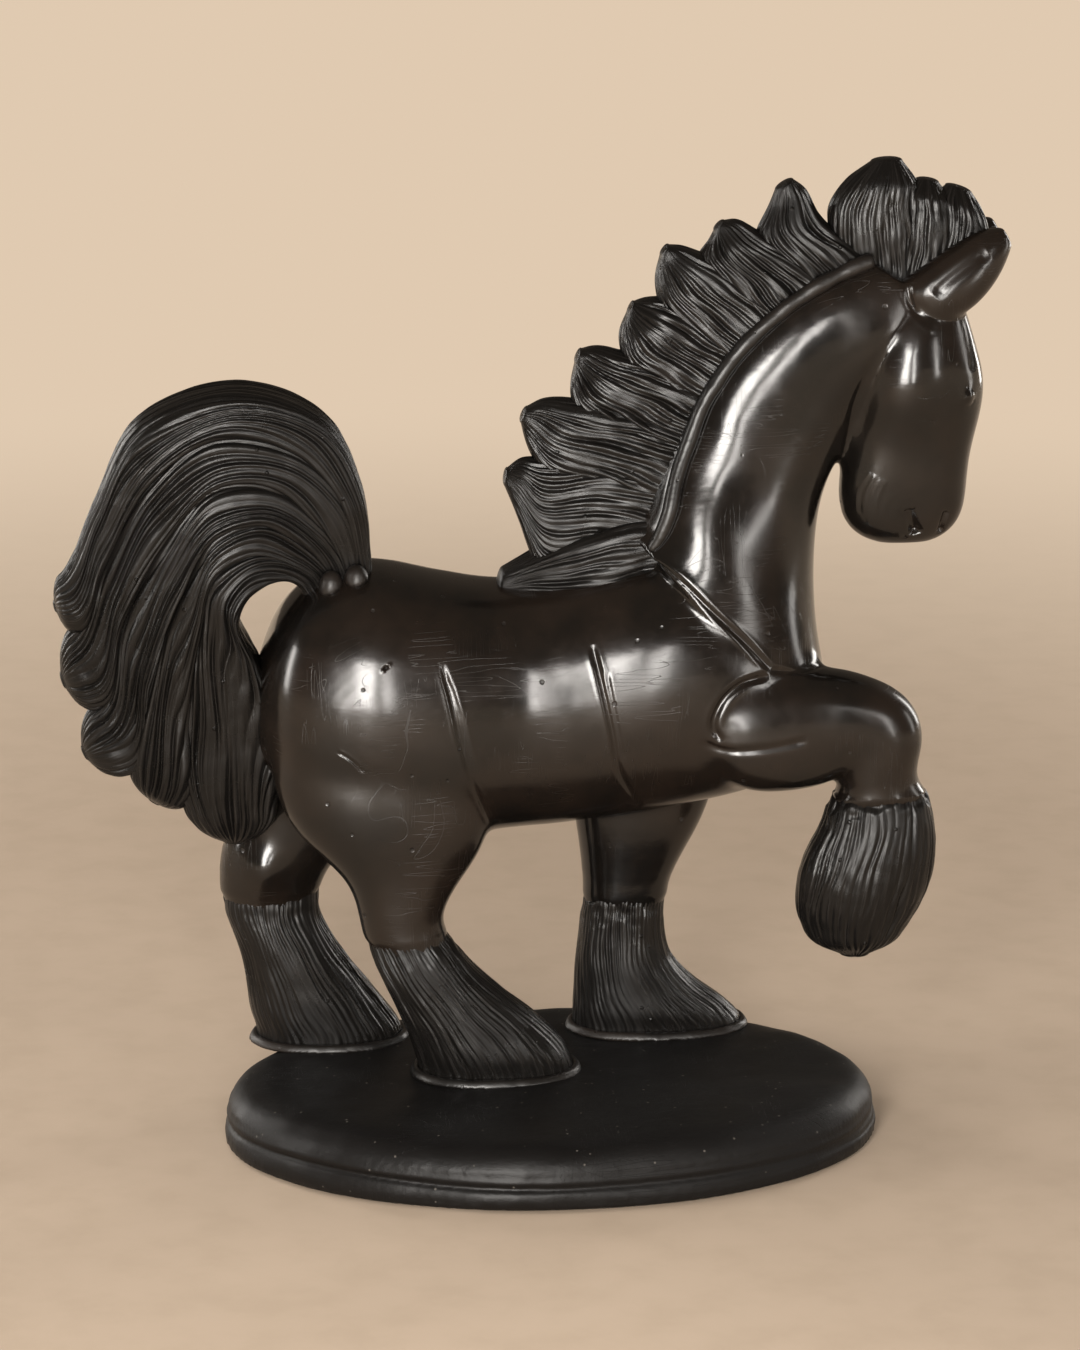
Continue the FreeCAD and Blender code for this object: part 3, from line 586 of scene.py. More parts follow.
def combHeights(around, along, girth, settings, seed):
    # Combed furrows: sharp valleys at uneven spacing, round backs between, swaying and fading on their way
    chance = np.random.RandomState(seed)
    knots = [0.0]
    while knots[-1] < girth - settings["pitch"] * 0.5:
        knots.append(knots[-1] + settings["pitch"] * (0.6 + 0.85 * chance.rand()))
    knots = np.array(knots) * girth / knots[-1]
    depths = settings["depth"] * (0.4 + 0.9 * chance.rand(len(knots)))
    depths[chance.rand(len(knots)) < settings["deepShare"]] *= settings["deeper"]
    rates, starts = 0.6 + 1.6 * chance.rand(len(knots)), chance.rand(len(knots))
    for values in (depths, rates, starts):
        values[-1] = values[0]
    slow = np.sin(2 * math.pi * (1.1 * along + chance.rand()) + 4 * math.pi * around / girth)
    quick = np.sin(2 * math.pi * (2.6 * along + chance.rand()) + 10 * math.pi * around / girth)
    spot = (around + settings["sway"] * (0.6 * slow + 0.4 * quick)) % girth
    index = np.clip(np.searchsorted(knots, spot, side="right") - 1, 0, len(knots) - 2)
    t = (spot - knots[index]) / (knots[index + 1] - knots[index])
    nearest = np.where(t < 0.5, index, index + 1)
    fade = np.clip(0.72 + 0.5 * np.sin(2 * math.pi * (along * rates[nearest] + starts[nearest])), 0.15, 1.1)
    half = settings["patchy"] * 0.5
    patch = 1 - half + half * np.sin(2 * math.pi * (around / girth * 3 + along * 0.8 + chance.rand()))
    off = 1 - 2 * np.minimum(t, 1 - t)
    return -depths[nearest] * fade * patch * off ** settings["sharp"]


def wrapGrid(title, grid, uvScale=100.0):
    # A plane grid wrapped into a closed form: its side edges are welded, its ends drawn to a point
    rows, count = grid.shape[:2]
    bpy.ops.object.select_all(action="DESELECT")
    bpy.ops.mesh.primitive_grid_add(x_subdivisions=count, y_subdivisions=rows - 1, size=1)
    piece = bpy.context.object
    flat = readPoints(piece)
    column = np.rint((flat[:, 0] + 0.5) * count).astype(int)
    row = np.rint((flat[:, 1] + 0.5) * (rows - 1)).astype(int)
    writePoints(piece, grid[row, column % count])
    uv = piece.data.uv_layers[0]
    flatUv = np.empty(len(uv.data) * 2, dtype=np.float32)
    uv.data.foreach_get("uv", flatUv)
    middle = grid[rows // 2]
    girth = travelAlong(np.vstack([middle, middle[:1]]))[-1]
    length = travelAlong(grid.mean(axis=1))[-1]
    flatUv = flatUv.reshape(-1, 2) * (np.array([girth, length]) * uvScale)
    uv.data.foreach_set("uv", flatUv.astype(np.float32).ravel())
    bpy.ops.object.mode_set(mode="EDIT")
    bpy.ops.mesh.select_all(action="SELECT")
    bpy.ops.mesh.remove_doubles(threshold=weld["locks"])
    bpy.ops.mesh.normals_make_consistent(inside=False)
    bpy.ops.object.mode_set(mode="OBJECT")
    bpy.ops.object.shade_smooth()
    piece.name = title
    return piece


# Steps towards a tip's pole, and how far the tip stands out beside its own radius
tipCap = {"steps": (0.3, 0.55, 0.75, 0.9, 0.98), "reach": 0.3}


def combedForm(node, rows, fullness, settings, seed, spread=(0.0, 0.0), roundEnd=True, start=0.12):
    # A lock or feather: smooth sections from root to tip, carved along its length
    rowCount, count = settings["rows"], settings["around"]
    dense = smoothRows(rows, rowCount)
    share = np.linspace(0, 1, rowCount)
    full = np.interp(share, [0, 1], fullness)
    wider = np.interp(share, [0, 1], spread)
    rings = [ringPoints(dense[step], full[step], count, wider[step]) for step in range(rowCount)]
    grid, girths = (np.array(values) for values in zip(*rings))
    widest = girths.max()
    middles = grid.mean(axis=1, keepdims=True)
    across = np.roll(grid, -1, axis=1) - np.roll(grid, 1, axis=1)
    normals = np.cross(across, np.gradient(grid, axis=0))
    normals /= np.linalg.norm(normals, axis=2, keepdims=True) + 1e-12
    normals *= np.sign(np.sum(normals * (grid - middles), axis=2).mean())
    around = np.tile(np.arange(count) / count * widest, (rowCount, 1))
    along = np.tile(share[:, None], (1, count))
    heights = combHeights(around, along, widest, settings, seed)

    def unevenness(size, number):
        return waves(grid.reshape(-1, 3), size, number).reshape(rowCount, count)

    small = np.clip(girths / widest * 1.25, 0.1, 1)
    if "calmTip" in settings:
        small = small * np.clip((1 - share) / settings["calmTip"], 0.12, 1)
    if "sunk" in settings:
        # The root lies under the skin and comes out along an uneven edge
        uneven = unevenness(settings["edgeSize"], seed + 3) * settings["edgeShare"]
        ramp = np.clip((share[:, None] + uneven) / settings["sunkShare"], 0, 1)
        heights = heights + settings["sunk"] * (1 - ramp) ** 1.3
    else:
        heights = heights * (np.clip(share / start, 0, 1) * small)[:, None]
    rough = unevenness(6 * mm, seed + 7) * settings["lump"]
    grid = grid + normals * (heights + rough * small[:, None])[:, :, None]
    first, last = grid[0].mean(axis=0), grid[-1].mean(axis=0)
    if roundEnd:
        # The tip closes like the end of a thumb
        onward = last - grid[-4].mean(axis=0)
        onward /= np.linalg.norm(onward) + 1e-12
        radius = np.linalg.norm(grid[-1] - last, axis=1).mean() * tipCap["reach"]
        caps = [last + (grid[-1] - last) * math.sqrt(1 - t * t) + onward * radius * t
                for t in tipCap["steps"]]
        last = last + onward * radius
        grid = np.concatenate([grid, np.array(caps)])
    grid = np.concatenate([np.tile(first, (1, count, 1)), grid, np.tile(last, (1, count, 1))])
    finishPiece(wrapGrid(node + "Clay", grid), node, "combed_clay")


anyComb = {"deepShare": 0.22, "deeper": 1.8, "patchy": 0.0, "sharp": 1.6}
tailComb = {**anyComb, "rows": 140, "around": 340, "pitch": 2.3 * mm, "depth": 1.05 * mm, "sway": 1.9 * mm,
            "deepShare": 0.25, "deeper": 1.55, "lump": 0.05 * mm, "calmTip": 0.05}
maneComb = {**anyComb, "rows": 70, "around": 220, "pitch": 2.2 * mm, "depth": 0.85 * mm, "sway": 0.6 * mm,
            "lump": 0.06 * mm, "calmTip": 0.14}
forelockComb = {**anyComb, "rows": 64, "around": 180, "pitch": 1.8 * mm, "depth": 0.6 * mm, "sway": 0.4 * mm,
                "lump": 0.06 * mm, "calmTip": 0.12}
featherComb = {**anyComb, "rows": 100, "around": 320, "pitch": 1.95 * mm, "depth": 0.6 * mm, "sway": 0.7 * mm,
               "lump": 0.06 * mm, "patchy": 0.5, "sunk": -1.0 * mm, "sunkShare": 0.2, "edgeSize": 4 * mm,
               "edgeShare": 0.03}
raisedComb = {**featherComb, "sunkShare": 0.08}

tailLap = {"root": 0.5, "tip": 0.12, "thickness": [1.0, 0.985, 1.0, 0.98, 0.97],
           "fill": [0, 0, 0, 0, 0.1, 1.3, 1.7, 1.2]}
tailLockCount = 5


def tailRows(index):
    # Beside its neighbours a lock laps past the parting line, less and less towards its tip
    outer, inner = tailLineShares[index], tailLineShares[index + 1]
    innermost = index == tailLockCount - 1
    rows = []
    for step, ((outX, outZ), (inX, inZ), widest) in enumerate(zip(outer, inner, tailHalfShares)):
        lap = tailLap["root"] + (tailLap["tip"] - tailLap["root"]) * step / (len(outer) - 1)
        lapOut = 0 if index == 0 else lap
        lapIn = 0 if innermost else lap
        reachX, reachZ = (outX - inX) / 2, (outZ - inZ) / 2
        fill = tailLap["fill"][step] if innermost else 0
        rows.append((outX + reachX * lapOut, outZ + reachZ * lapOut, inX - reachX * lapIn + fill,
                     inZ - reachZ * lapIn, 0, widest * tailLap["thickness"][index]))
    tipX, tipZ = tailTipShares[index]
    foreX, foreZ, aftX, aftZ, across, half = rows[-1]
    middleX, middleZ = (foreX + aftX) / 2, (foreZ + aftZ) / 2
    reachX, reachZ = (foreX - aftX) / 2, (foreZ - aftZ) / 2
    for way, size in tailEndShares:
        endX, endZ = middleX + (tipX - middleX) * way, middleZ + (tipZ - middleZ) * way
        rows.append((endX + reachX * size, endZ + reachZ * size, endX - reachX * size, endZ - reachZ * size,
                     across, half * size))
    return rows


tailForm = {"fullness": (5.0, 2.8), "start": 0.02, "seed": 100}
for index in range(tailLockCount):
    combedForm(f"tail_lock_{index + 1}", tailRows(index), tailForm["fullness"], tailComb,
               tailForm["seed"] + index, start=tailForm["start"])
print("tail combed")

# How far each section's fore and aft ends are drawn along it; the seventh lock also bellies down
maneShape = {"pull": (0.0, 0.10, 0.14, 0.0, -0.35), "push": (0.0, 0.10, 0.16, 0.16, 0.5), "tipThickness": 3,
             "bellyLock": 6, "lowBelly": (2.5, 3.5, 3.5, 1.0, 0.0), "fullness": (5.0, 2.3),
             "firstSpread": 0.12, "spread": 0.36, "tipSpread": 0.02, "seed": 200}


def maneRows(index):
    drawn = zip(maneShares[index], maneShape["pull"], maneShape["push"])
    rows = [(a + (c - a) * pull, b + (d - b) * pull, c + (c - a) * push, d + (d - b) * push, e, f)
            for (a, b, c, d, e, f), pull, push in drawn]
    rows[-1] = rows[-1][:5] + (rows[-1][5] + maneShape["tipThickness"],)
    if index == maneShape["bellyLock"]:
        rows = [(a, b, c, d - drop, e, f) for (a, b, c, d, e, f), drop in zip(rows, maneShape["lowBelly"])]
    return rows


for index in range(len(maneShares)):
    rootSpread = maneShape["firstSpread" if index == 0 else "spread"]
    combedForm(f"mane_lock_{index + 1}", maneRows(index), maneShape["fullness"], maneComb,
               maneShape["seed"] + index, spread=(rootSpread, maneShape["tipSpread"]))
forelockForm = {"fullness": (4.5, 2.3), "spread": (0.12, 0.02), "seed": 300}
for index, rows in enumerate(forelockShares):
    combedForm(f"forelock_{index + 1}", rows, forelockForm["fullness"], forelockComb,
               forelockForm["seed"] + index, spread=forelockForm["spread"])
print("mane and fan combed")

# Standing feet run a little into the plinth
featherForm = {"fullness": (2.2, 2.2), "soleShare": -0.4, "seed": 400, "raisedSeed": 450}
standing = {"right_hind_feather": rightHindFeatherShares, "left_hind_feather": leftHindFeatherShares,
            "left_fore_feather": leftForeFeatherShares}
for node, rows in standing.items():
    foreX, foreZ, aftX, aftZ, across, half = rows[-1]
    sole = (foreX, featherForm["soleShare"], aftX, featherForm["soleShare"], across, half)
    combedForm(node, rows + [sole], featherForm["fullness"], featherComb, featherForm["seed"] + len(node),
               roundEnd=False)
combedForm("right_fore_feather", rightForeFeatherShares, featherForm["fullness"], raisedComb,
           featherForm["raisedSeed"])
print("feathers combed")


# ---- skins: several CAD nodes grown together, smoothed, carved, and cut into their pieces again
def meshTree(mesh):
    return BVHTree.FromPolygons([vertex.co for vertex in mesh.vertices],
                                [tuple(face.vertices) for face in mesh.polygons])


def nodeDistances(points, names, trees, reach):
    # How far each point lies from each node's own surface, up to a reach
    table = np.full((len(points), len(trees)), reach)
    for index, tree in enumerate(trees):
        low, high = (np.array(corner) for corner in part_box(names[index]))
        inside = np.all((points > low - reach) & (points < high + reach), axis=1)
        for number in np.nonzero(inside)[0]:
            found = tree.find_nearest(points[number], reach)
            if found[0] is not None:
                table[number, index] = found[3]
    return table


def selectFaces(piece, mask):
    choose(piece)
    bpy.ops.object.mode_set(mode="EDIT")
    bpy.ops.mesh.select_mode(type="FACE")
    bpy.ops.mesh.select_all(action="DESELECT")
    bpy.ops.object.mode_set(mode="OBJECT")
    piece.data.polygons.foreach_set("select", mask)
    bpy.ops.object.mode_set(mode="EDIT")


def makeFiner(piece, mask):
    selectFaces(piece, mask)
    bpy.ops.mesh.subdivide(number_cuts=1)
    bpy.ops.object.mode_set(mode="OBJECT")


def capOpenEdges(piece):
    # Each open rim is drawn in to a point inside the clay, so the piece is closed
    choose(piece)
    bpy.ops.object.mode_set(mode="EDIT")
    bpy.ops.mesh.select_mode(type="EDGE")
    bpy.ops.mesh.select_all(action="DESELECT")
    bpy.ops.mesh.select_non_manifold(extend=False, use_wire=False, use_boundary=True, use_multi_face=False,
                                     use_non_contiguous=False, use_verts=False)
    bpy.ops.mesh.extrude_edges_move()
    bpy.ops.mesh.merge(type="COLLAPSE")
    bpy.ops.mesh.select_mode(type="VERT")
    bpy.ops.object.mode_set(mode="OBJECT")


def cutSkin(body, names, owner, slotName):
    # The skin cut along its owners' borders; every piece keeps the whole skin's shading
    attribute = body.data.attributes.new("skinNormal", "FLOAT_VECTOR", "POINT")
    attribute.data.foreach_set("vector", readNormals(body).astype(np.float32).ravel())
    for index, node in enumerate(names):
        choose(body)
        bpy.ops.object.duplicate()
        piece = bpy.context.object
        selectFaces(piece, owner != index)
        bpy.ops.mesh.delete(type="FACE")
        bpy.ops.object.mode_set(mode="OBJECT")
        capOpenEdges(piece)
        bpy.ops.object.shade_smooth()
        values = np.empty(len(piece.data.vertices) * 3, dtype=np.float32)
        piece.data.attributes["skinNormal"].data.foreach_get("vector", values)
        piece.data.normals_split_custom_set_from_vertices(values.reshape(-1, 3).tolist())
        finishPiece(piece, node, slotName)
        print(node, "cut from the skin,", len(piece.data.polygons), "faces")
    bpy.data.objects.remove(body)


def photoPath(tree, marks, step=3.0):
    # A smooth line through marks on the photograph, laid on the skin it is seen on
    marks = np.array(marks, dtype=float)
    travel = travelAlong(marks)
    where = np.linspace(0, travel[-1], max(3, int(travel[-1] / step)))
    hits = [tree.ray_cast(*photoRay(*mark)) for mark in smoothCurve(marks, travel, where)]
    return np.array([hit[0] for hit in hits if hit[0] is not None])


def pathDistance(points, path, reach):
    # Each point's distance to a path, and how far along the path it is
    off = np.full(len(points), reach * 10)
    along = np.zeros(len(points))
    low, high = path.min(axis=0) - reach, path.max(axis=0) + reach
    inside = np.nonzero(np.all((points > low) & (points < high), axis=1))[0]
    if len(inside) == 0:
        return off, along
    chosen = points[inside]
    best = np.full(len(chosen), np.inf)
    where = np.zeros(len(chosen))
    for number in range(len(path) - 1):
        run = path[number + 1] - path[number]
        share = np.clip(((chosen - path[number]) @ run) / (run @ run + 1e-18), 0, 1)
        gap = np.linalg.norm(chosen - path[number] - share[:, None] * run, axis=1)
        closer = gap < best
        best[closer] = gap[closer]
        where[closer] = (number + share[closer]) / (len(path) - 1)
    off[inside] = best
    along[inside] = where
    return off, along


def mirrored(path):
    # The same line on the other side of the figure's middle plane
    twin = path.copy()
    twin[:, 1] = 2 * figure["setback"] - twin[:, 1]
    return twin


def carve(points, normals, path, depth, width, rim, fade):
    # A furrow drawn with a blunt tool, its edges pushed up a little
    off, along = pathDistance(points, path, width * 4)
    ends = (np.clip(along / fade, 0, 1) * np.clip((1 - along) / fade, 0, 1)) ** 0.7
    shape = -np.exp(-(off / width) ** 2) + rim * np.exp(-((off - 2.1 * width) / (0.8 * width)) ** 2)
    return points + normals * (depth * shape * ends)[:, None]


def swell(points, normals, centre, reach, height, firm):
    # A rounded swelling, or a hollow when its height is below nothing
    off = np.linalg.norm((points - centre) / np.array(reach), axis=1)
    return points + normals * (height * np.exp(-off ** firm))[:, None]


# ---- the burnished skin: body, neck, head and limbs grown together
ears = ["right_ear", "left_ear"]
skinNodes = ["rump", "barrel", "forehand", "neck", "head", "right_thigh", "left_thigh", "right_forearm",
             "left_forearm", *ears]
featherNodes = ["right_hind_feather", "left_hind_feather", "left_fore_feather", "right_fore_feather"]
skin = {"voxel": 0.75 * mm, "blendReach": 6 * mm, "blendRounds": 90, "allRounds": 8, "earBlend": 0.25,
        "earReach": 0.9, "ankleReach": 4.5 * mm, "ankleRounds": 30,
        "fineAbove": 148 * mm, "fineAhead": 74 * mm, "fineSearch": 3.5 * mm, "fineBeside": 3.0 * mm,
        "fade": 0.1, "noFade": 1e-6, "broadSize": 30 * mm,
        "broadHeight": 0.12 * mm, "smallSize": 9 * mm, "smallHeight": 0.015 * mm}
# Where the skin goes under the combed hair of the feet
ankle = {"lap": 7.6 * mm, "sink": 1.5 * mm, "sinkFrom": 1.5 * mm, "sinkOver": 6 * mm,
         "raisedSinkOver": 2.5 * mm, "search": 12 * mm, "ownerSearch": 8 * mm}

# Furrows seen in the photograph: marks, depth and width in millimetres, rim as a share of depth
furrows = {
    "neckSeam": ([(650, 558), (682, 583), (712, 612), (744, 641), (771, 670)], 0.60, 0.75, 0.14),
    "chestLine": ([(771, 670), (800, 672), (828, 664)], 0.38, 0.7, 0.06),
    "elbow": ([(768, 676), (742, 684), (721, 704), (714, 730), (722, 742)], 0.75, 0.9, 0.09),
    "underArm": ([(700, 742), (722, 750), (762, 750), (808, 741)], 0.41, 1.0, 0.06),
    "girth": ([(592, 645), (602, 685), (612, 730), (621, 775), (640, 806)], 0.60, 0.7, 0.12),
    "girthSecond": ([(606, 672), (615, 716), (624, 762)], 0.30, 0.6, 0.09),
    "flank": ([(442, 664), (452, 700), (462, 745), (474, 785), (491, 822)], 0.60, 0.7, 0.12),
    "flankSecond": ([(450, 680), (461, 718), (472, 762), (484, 795)], 0.26, 0.55, 0.09),
    "rumpScratch": ([(337, 752), (350, 760), (364, 773)], 0.25, 0.35, 0.3),
    "vent": ([(385, 667), (387, 669)], 1.4, 0.5, 0.2),
    "jowl": ([(906, 318), (886, 338), (868, 366), (856, 398), (850, 430), (844, 456)], 0.68, 1.1, 0.04),
    "earRoot": ([(908, 286), (912, 306), (921, 320), (934, 331)], 0.4, 0.8, 0.3),
    "earFold": ([(934, 295), (952, 278), (972, 263), (988, 252)], 0.5, 1.7, 0.0),
    "nostril": ([(909, 511), (912, 522), (916, 537)], 2.2, 1.5, 0.0),
    "lipNotch": ([(948, 512), (945, 522), (941, 534)], 1.5, 0.9, 0.0),
    "lipArc": ([(888, 522), (892, 507), (903, 497), (920, 493)], 0.25, 0.8, 0.1),
    "mouth": ([(906, 549), (905, 540), (903, 532)], 0.8, 0.6, 0.05),
    "chinFirst": ([(872, 474), (861, 494), (859, 515)], 0.3, 0.6, 0.3),
    "chinSecond": ([(884, 480), (873, 502), (872, 526)], 0.3, 0.6, 0.3),
    "brow": ([(956, 300), (967, 335), (972, 372)], 0.15, 1.2, 0.0),
    "eyeUpper": ([(962, 399), (966, 391), (971, 389), (974, 394)], 0.2, 0.6, 0.0),
    "eyeLower": ([(962, 399), (966, 405), (971, 405), (974, 398)], 0.2, 0.6, 0.0),
}
oneSided = ("rumpScratch", "vent")
unfaded = ("vent",)
# Swellings and hollows: the mark they are seen at, reach and height in millimetres
swellings = {
    "cheek": {"mark": (906, 366), "reach": (12, 11, 15), "height": 2.6, "firm": 2.6},
    "eye": {"mark": (968, 397), "reach": (2.4, 2.2, 2.2), "height": 0.8},
    "underCheek": {"mark": (902, 448), "reach": (13, 8, 9), "height": -1.2},
    "muzzle": {"mark": (905, 508), "reach": (14, 9, 13), "height": -1.3},
    "earHollow": {"mark": (925, 306), "reach": (3, 3, 3), "height": -0.5},
    "knee": {"mark": (905, 705), "reach": (8, 10, 8), "height": 0.6},
    "hock": {"mark": (262, 872), "reach": (7, 7, 7), "height": 1.9},
}

allNodes = skinNodes + featherNodes
skinCount = len(skinNodes)
body = copyNodes(allNodes, "skin")
remesh(body, skin["voxel"])
print("skin remeshed,", len(body.data.polygons), "faces")

# The joins are smoothed most, the ears' roots less
trees = [meshTree(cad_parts[name].data) for name in allNodes]
distances = nodeDistances(readPoints(body), allNodes, trees, skin["blendReach"])
onSkin, onFeather = distances[:, :skinCount], distances[:, skinCount:]
weights = np.clip(1.25 - np.sort(onSkin, axis=1)[:, 1] / skin["blendReach"], 0, 1)
toEar = onSkin[:, [skinNodes.index(name) for name in ears]].min(axis=1)
byEar = toEar < skin["blendReach"] * skin["earReach"]
weights[byEar] *= skin["earBlend"]
group = body.vertex_groups.new(name="joins")
for level in range(1, 11):
    chosen = np.nonzero(np.rint(weights * 10).astype(int) == level)[0]
    if len(chosen):
        group.add(chosen.tolist(), level / 10, "REPLACE")
smooth(body, skin["blendRounds"], "joins")
smooth(body, skin["allRounds"])
atAnkle = (onSkin.min(axis=1) < skin["ankleReach"]) & (onFeather.min(axis=1) < skin["ankleReach"])
group = body.vertex_groups.new(name="ankles")
group.add(np.nonzero(atAnkle)[0].tolist(), 1.0, "REPLACE")
smooth(body, skin["ankleRounds"], "ankles")
print("joins smoothed")

# Finer faces where the carving goes
tree = meshTree(body.data)
paths = {name: photoPath(tree, furrow[0]) for name, furrow in furrows.items()}
centres = faceCentres(body)
fine = (centres[:, 2] > skin["fineAbove"]) & (centres[:, 0] > skin["fineAhead"])
for path in paths.values():
    for line in (path, mirrored(path)):
        fine |= pathDistance(centres, line, skin["fineSearch"])[0] < skin["fineBeside"]
makeFiner(body, fine)
points = readPoints(body)
for name, item in swellings.items():
    hit = tree.ray_cast(*photoRay(*item["mark"]))
    if hit[0] is None:
        print("no skin under", name)
        continue
    centre = np.array(hit[0])
    normals = readNormals(body)
    reach = [value * mm for value in item["reach"]]
    for middle in (centre, mirrored(centre[None])[0]):
        points = swell(points, normals, middle, reach, item["height"] * mm, item.get("firm", 2.0))
    writePoints(body, points)
normals = readNormals(body)
for name, (marks, depth, width, rim) in furrows.items():
    fade = skin["noFade"] if name in unfaded else skin["fade"]
    for line in [paths[name]] if name in oneSided else [paths[name], mirrored(paths[name])]:
        points = carve(points, normals, line, depth * mm, width * mm, rim, fade)
uneven = (waves(points, skin["broadSize"], 11) * skin["broadHeight"]
          + waves(points, skin["smallSize"], 12) * skin["smallHeight"])
points = points + normals * uneven[:, None]

# The skin dives gently under the combed hair of the feet
distances = nodeDistances(points, allNodes, trees, ankle["search"])
toSkin, toFeather = distances[:, :skinCount].min(axis=1), distances[:, skinCount:].min(axis=1)
below = np.where(toFeather < toSkin, toSkin, 0)
raised = np.argmin(distances[:, skinCount:], axis=1) == featherNodes.index("right_fore_feather")
sinkFrom = np.where(raised, 0, ankle["sinkFrom"])
dive = np.clip((below - sinkFrom) / np.where(raised, ankle["raisedSinkOver"], ankle["sinkOver"]), 0, 1)
points = points - normals * (ankle["sink"] * dive)[:, None]
writePoints(body, points)
print("skin carved")

# Each face goes to the nearest node, and near a leg the feathers' share of the skin goes to that leg
distances = nodeDistances(points, allNodes, trees, ankle["ownerSearch"])
corner = np.array([polygon.vertices[0] for polygon in body.data.polygons])
table = distances[corner]
owner = np.argmin(table, axis=1)
lapped = (owner >= skinCount) & (table[:, :skinCount].min(axis=1) < ankle["lap"])
owner[lapped] = np.argmin(table[:, :skinCount], axis=1)[lapped]
cutSkin(body, skinNodes, owner, "burnished_clay")

# ---- the plinth: its two layers grown together, so that the line between them is only a furrow
plinth = {"voxel": 1.1 * mm, "rounds": 120, "halfLong": 84.5, "halfWide": 58,
          "fineFrom": 2 * mm, "fineTo": 11 * mm, "smoothAbove": 1.2 * mm,
          "grooveUp": 6.6 * mm, "grooveWidth": 0.75 * mm, "grooveDepth": 0.6 * mm,
          "lipAbove": 1.6 * mm, "lipWidth": 0.9 * mm, "lipHeight": 0.3 * mm, "secondUp": 4.6 * mm,
          "secondWidth": 0.6 * mm, "secondDepth": 0.3 * mm, "flatUnder": 2 * mm}


def plinthRelief(points, normals):
    # A wandering groove under a rolled lip, a fainter second groove, and the hand's unevenness
    turn = np.arctan2(points[:, 1] / plinth["halfWide"], points[:, 0] / plinth["halfLong"])
    up = points[:, 2]
    side = np.clip(1.4 - 1.6 * np.abs(normals[:, 2]), 0, 1)
    first = plinth["grooveUp"] + (0.5 * np.sin(2 * turn + 0.6) + 0.35 * np.sin(5 * turn + 1.1)) * mm
    second = plinth["secondUp"] + (0.4 * np.sin(3 * turn + 2.0) + 0.3 * np.sin(7 * turn)) * mm
    strength = 0.75 + 0.35 * np.sin(2 * turn - 0.8)
    height = -plinth["grooveDepth"] * strength * np.exp(-((up - first) / plinth["grooveWidth"]) ** 2)
    height += plinth["lipHeight"] * np.exp(-((up - first - plinth["lipAbove"]) / plinth["lipWidth"]) ** 2)
    faint = np.clip(np.sin(1.5 * turn + 1.9), 0, 1)
    height -= plinth["secondDepth"] * faint * np.exp(-((up - second) / plinth["secondWidth"]) ** 2)
    uneven = waves(points, 34 * mm, 21) * 0.35 * mm + waves(points, 12 * mm, 22) * 0.1 * mm
    return (height * side + uneven) * np.clip(up / plinth["flatUnder"], 0, 1)


slab = copyNodes(["base_slab", "base_top"], "plinth")
remesh(slab, plinth["voxel"])
centres = faceCentres(slab)
makeFiner(slab, (centres[:, 2] > plinth["fineFrom"]) & (centres[:, 2] < plinth["fineTo"]))
points = readPoints(slab)
group = slab.vertex_groups.new(name="sides")
group.add(np.nonzero(points[:, 2] > plinth["smoothAbove"])[0].tolist(), 1.0, "REPLACE")
smooth(slab, plinth["rounds"], "sides")
points = readPoints(slab)
normals = readNormals(slab)
points = points + normals * plinthRelief(points, normals)[:, None]
points[:, 2] = np.maximum(points[:, 2], 0)
writePoints(slab, points)
onTop = faceCentres(slab)[:, 2] > plinth["grooveUp"]
cutSkin(slab, ["base_slab", "base_top"], onTop.astype(int), "plinth_clay")

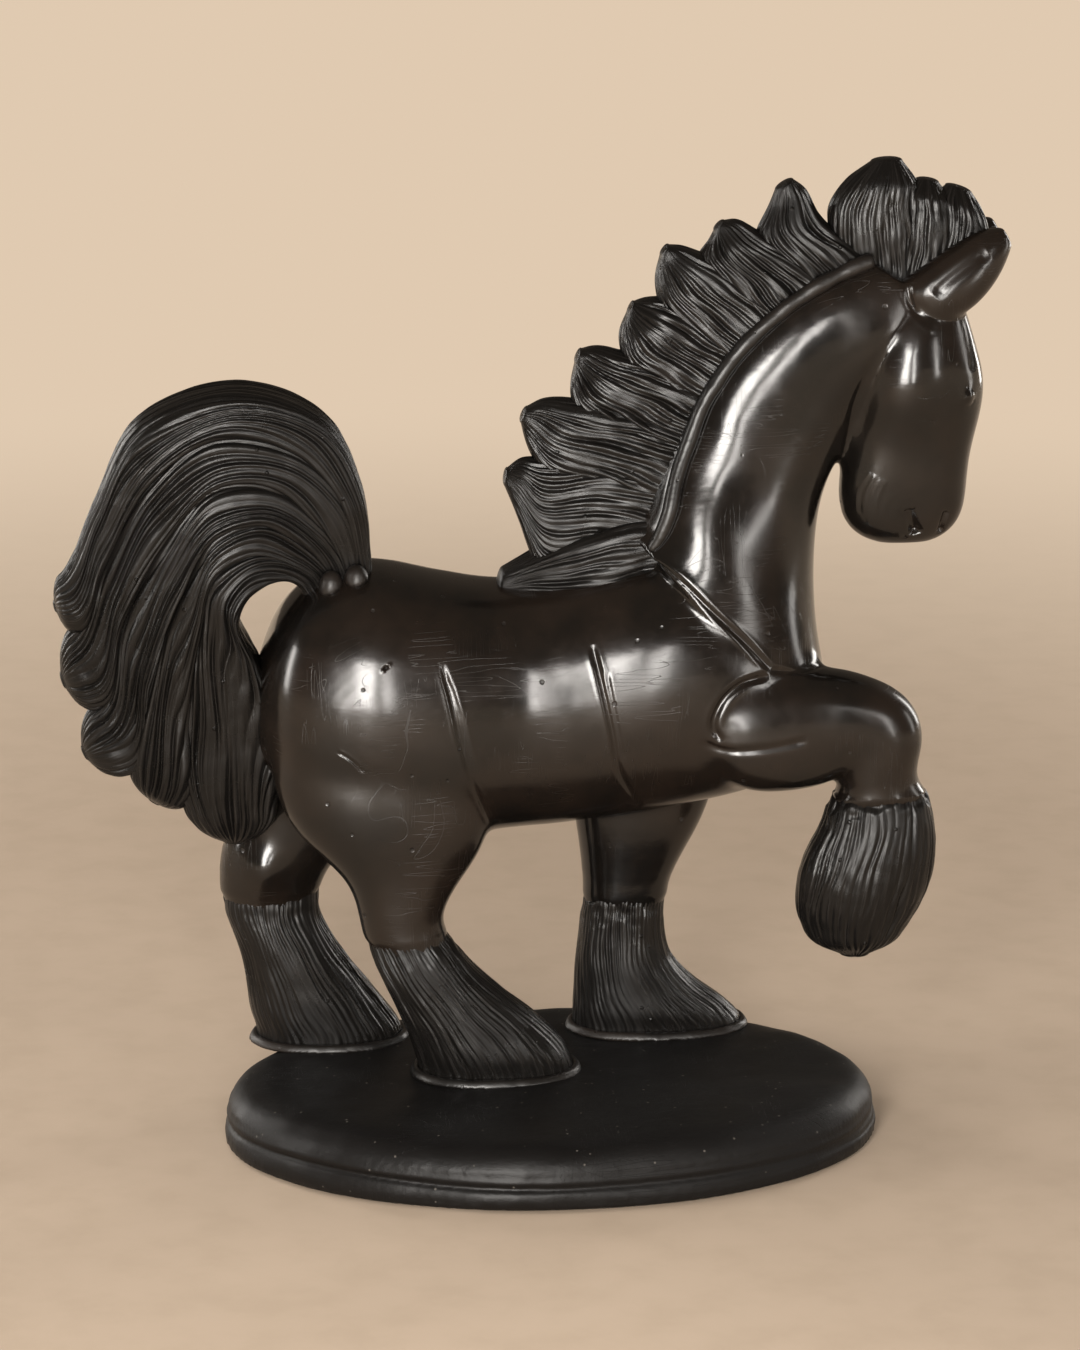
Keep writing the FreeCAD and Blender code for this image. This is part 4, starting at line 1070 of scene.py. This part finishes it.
# ---- beads and dabs of slip, their edges softened by a wet finger
slipNodes = {"mane_bead_right": 10, "mane_bead_left": 10, "hoof_bead_right_hind": 12,
             "hoof_bead_left_hind": 12, "hoof_bead_left_fore": 12, "tail_dab_1": 4, "tail_dab_2": 4}
bead = {"voxel": 0.35 * mm, "lumpSize": 7 * mm, "lumpHeight": 0.14 * mm, "grown": 0.4 * mm}
for name, rounds in slipNodes.items():
    piece = copyNodes([name], name + "Copy")
    remesh(piece, bead["voxel"])
    points = readPoints(piece)
    growth = waves(points, bead["lumpSize"], 60) * bead["lumpHeight"] + bead["grown"]
    writePoints(piece, points + readNormals(piece) * growth[:, None])
    smooth(piece, rounds)
    choose(piece)
    bpy.ops.object.shade_smooth()
    finishPiece(piece, name, "slip_clay")
print("slip beads softened")

# ---- the tail's core keeps its shape under the locks
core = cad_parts["tail_dock"].data
core.materials.clear()
core.materials.append(clay["burnished_clay"])

# ---- floor: near the figure it is lit and takes the shadow, far off it shows the colour of the wall
floor = {"wide": 8.0, "colour": (0.47, 0.37, 0.28), "grainColour": (0.44, 0.345, 0.258), "grainScale": 60.0,
         "grainFrom": 0.35, "grainFull": 0.75, "roughness": 0.75, "wall": (0.745, 0.591, 0.440),
         "wallFrom": 0.28, "wallFull": 0.95}


def makeFloorMaterial():
    material, tree, shader, coords = newMaterial("paleFloor")
    shader.inputs["Roughness"].default_value = floor["roughness"]
    spot = (coords, "Object")
    grain = addNoise(tree, spot, floor["grainScale"], detail=6.0)
    grain = addRange(tree, grain, floor["grainFrom"], floor["grainFull"])
    setInput(tree, shader, "Base Color", addColourMix(tree, grain, floor["colour"], floor["grainColour"]))
    span = addNode(tree, "ShaderNodeVectorMath", {0: spot}, operation="LENGTH")
    isFar = addRange(tree, (span, "Value"), floor["wallFrom"], floor["wallFull"])
    rays = tree.nodes.new("ShaderNodeLightPath")
    mirrorRays = addMath(tree, "MAXIMUM", (rays, "Is Glossy Ray"), (rays, "Is Transmission Ray"))
    seenRays = addMath(tree, "MAXIMUM", (rays, "Is Camera Ray"), mirrorRays)
    wall = addNode(tree, "ShaderNodeEmission", {"Color": (*floor["wall"], 1)})
    wallShare = addMath(tree, "MULTIPLY", isFar, seenRays)
    inputs = {"Fac": wallShare, 1: (shader, "BSDF"), 2: (wall, "Emission")}
    mixed = addNode(tree, "ShaderNodeMixShader", inputs)
    setInput(tree, tree.nodes["Material Output"], "Surface", (mixed, "Shader"))
    return material


bpy.ops.object.select_all(action="DESELECT")
bpy.ops.mesh.primitive_plane_add(size=floor["wide"], location=(0, 0, 0))
ground = bpy.context.object
ground.name = "floor"
ground.data.materials.append(makeFloorMaterial())
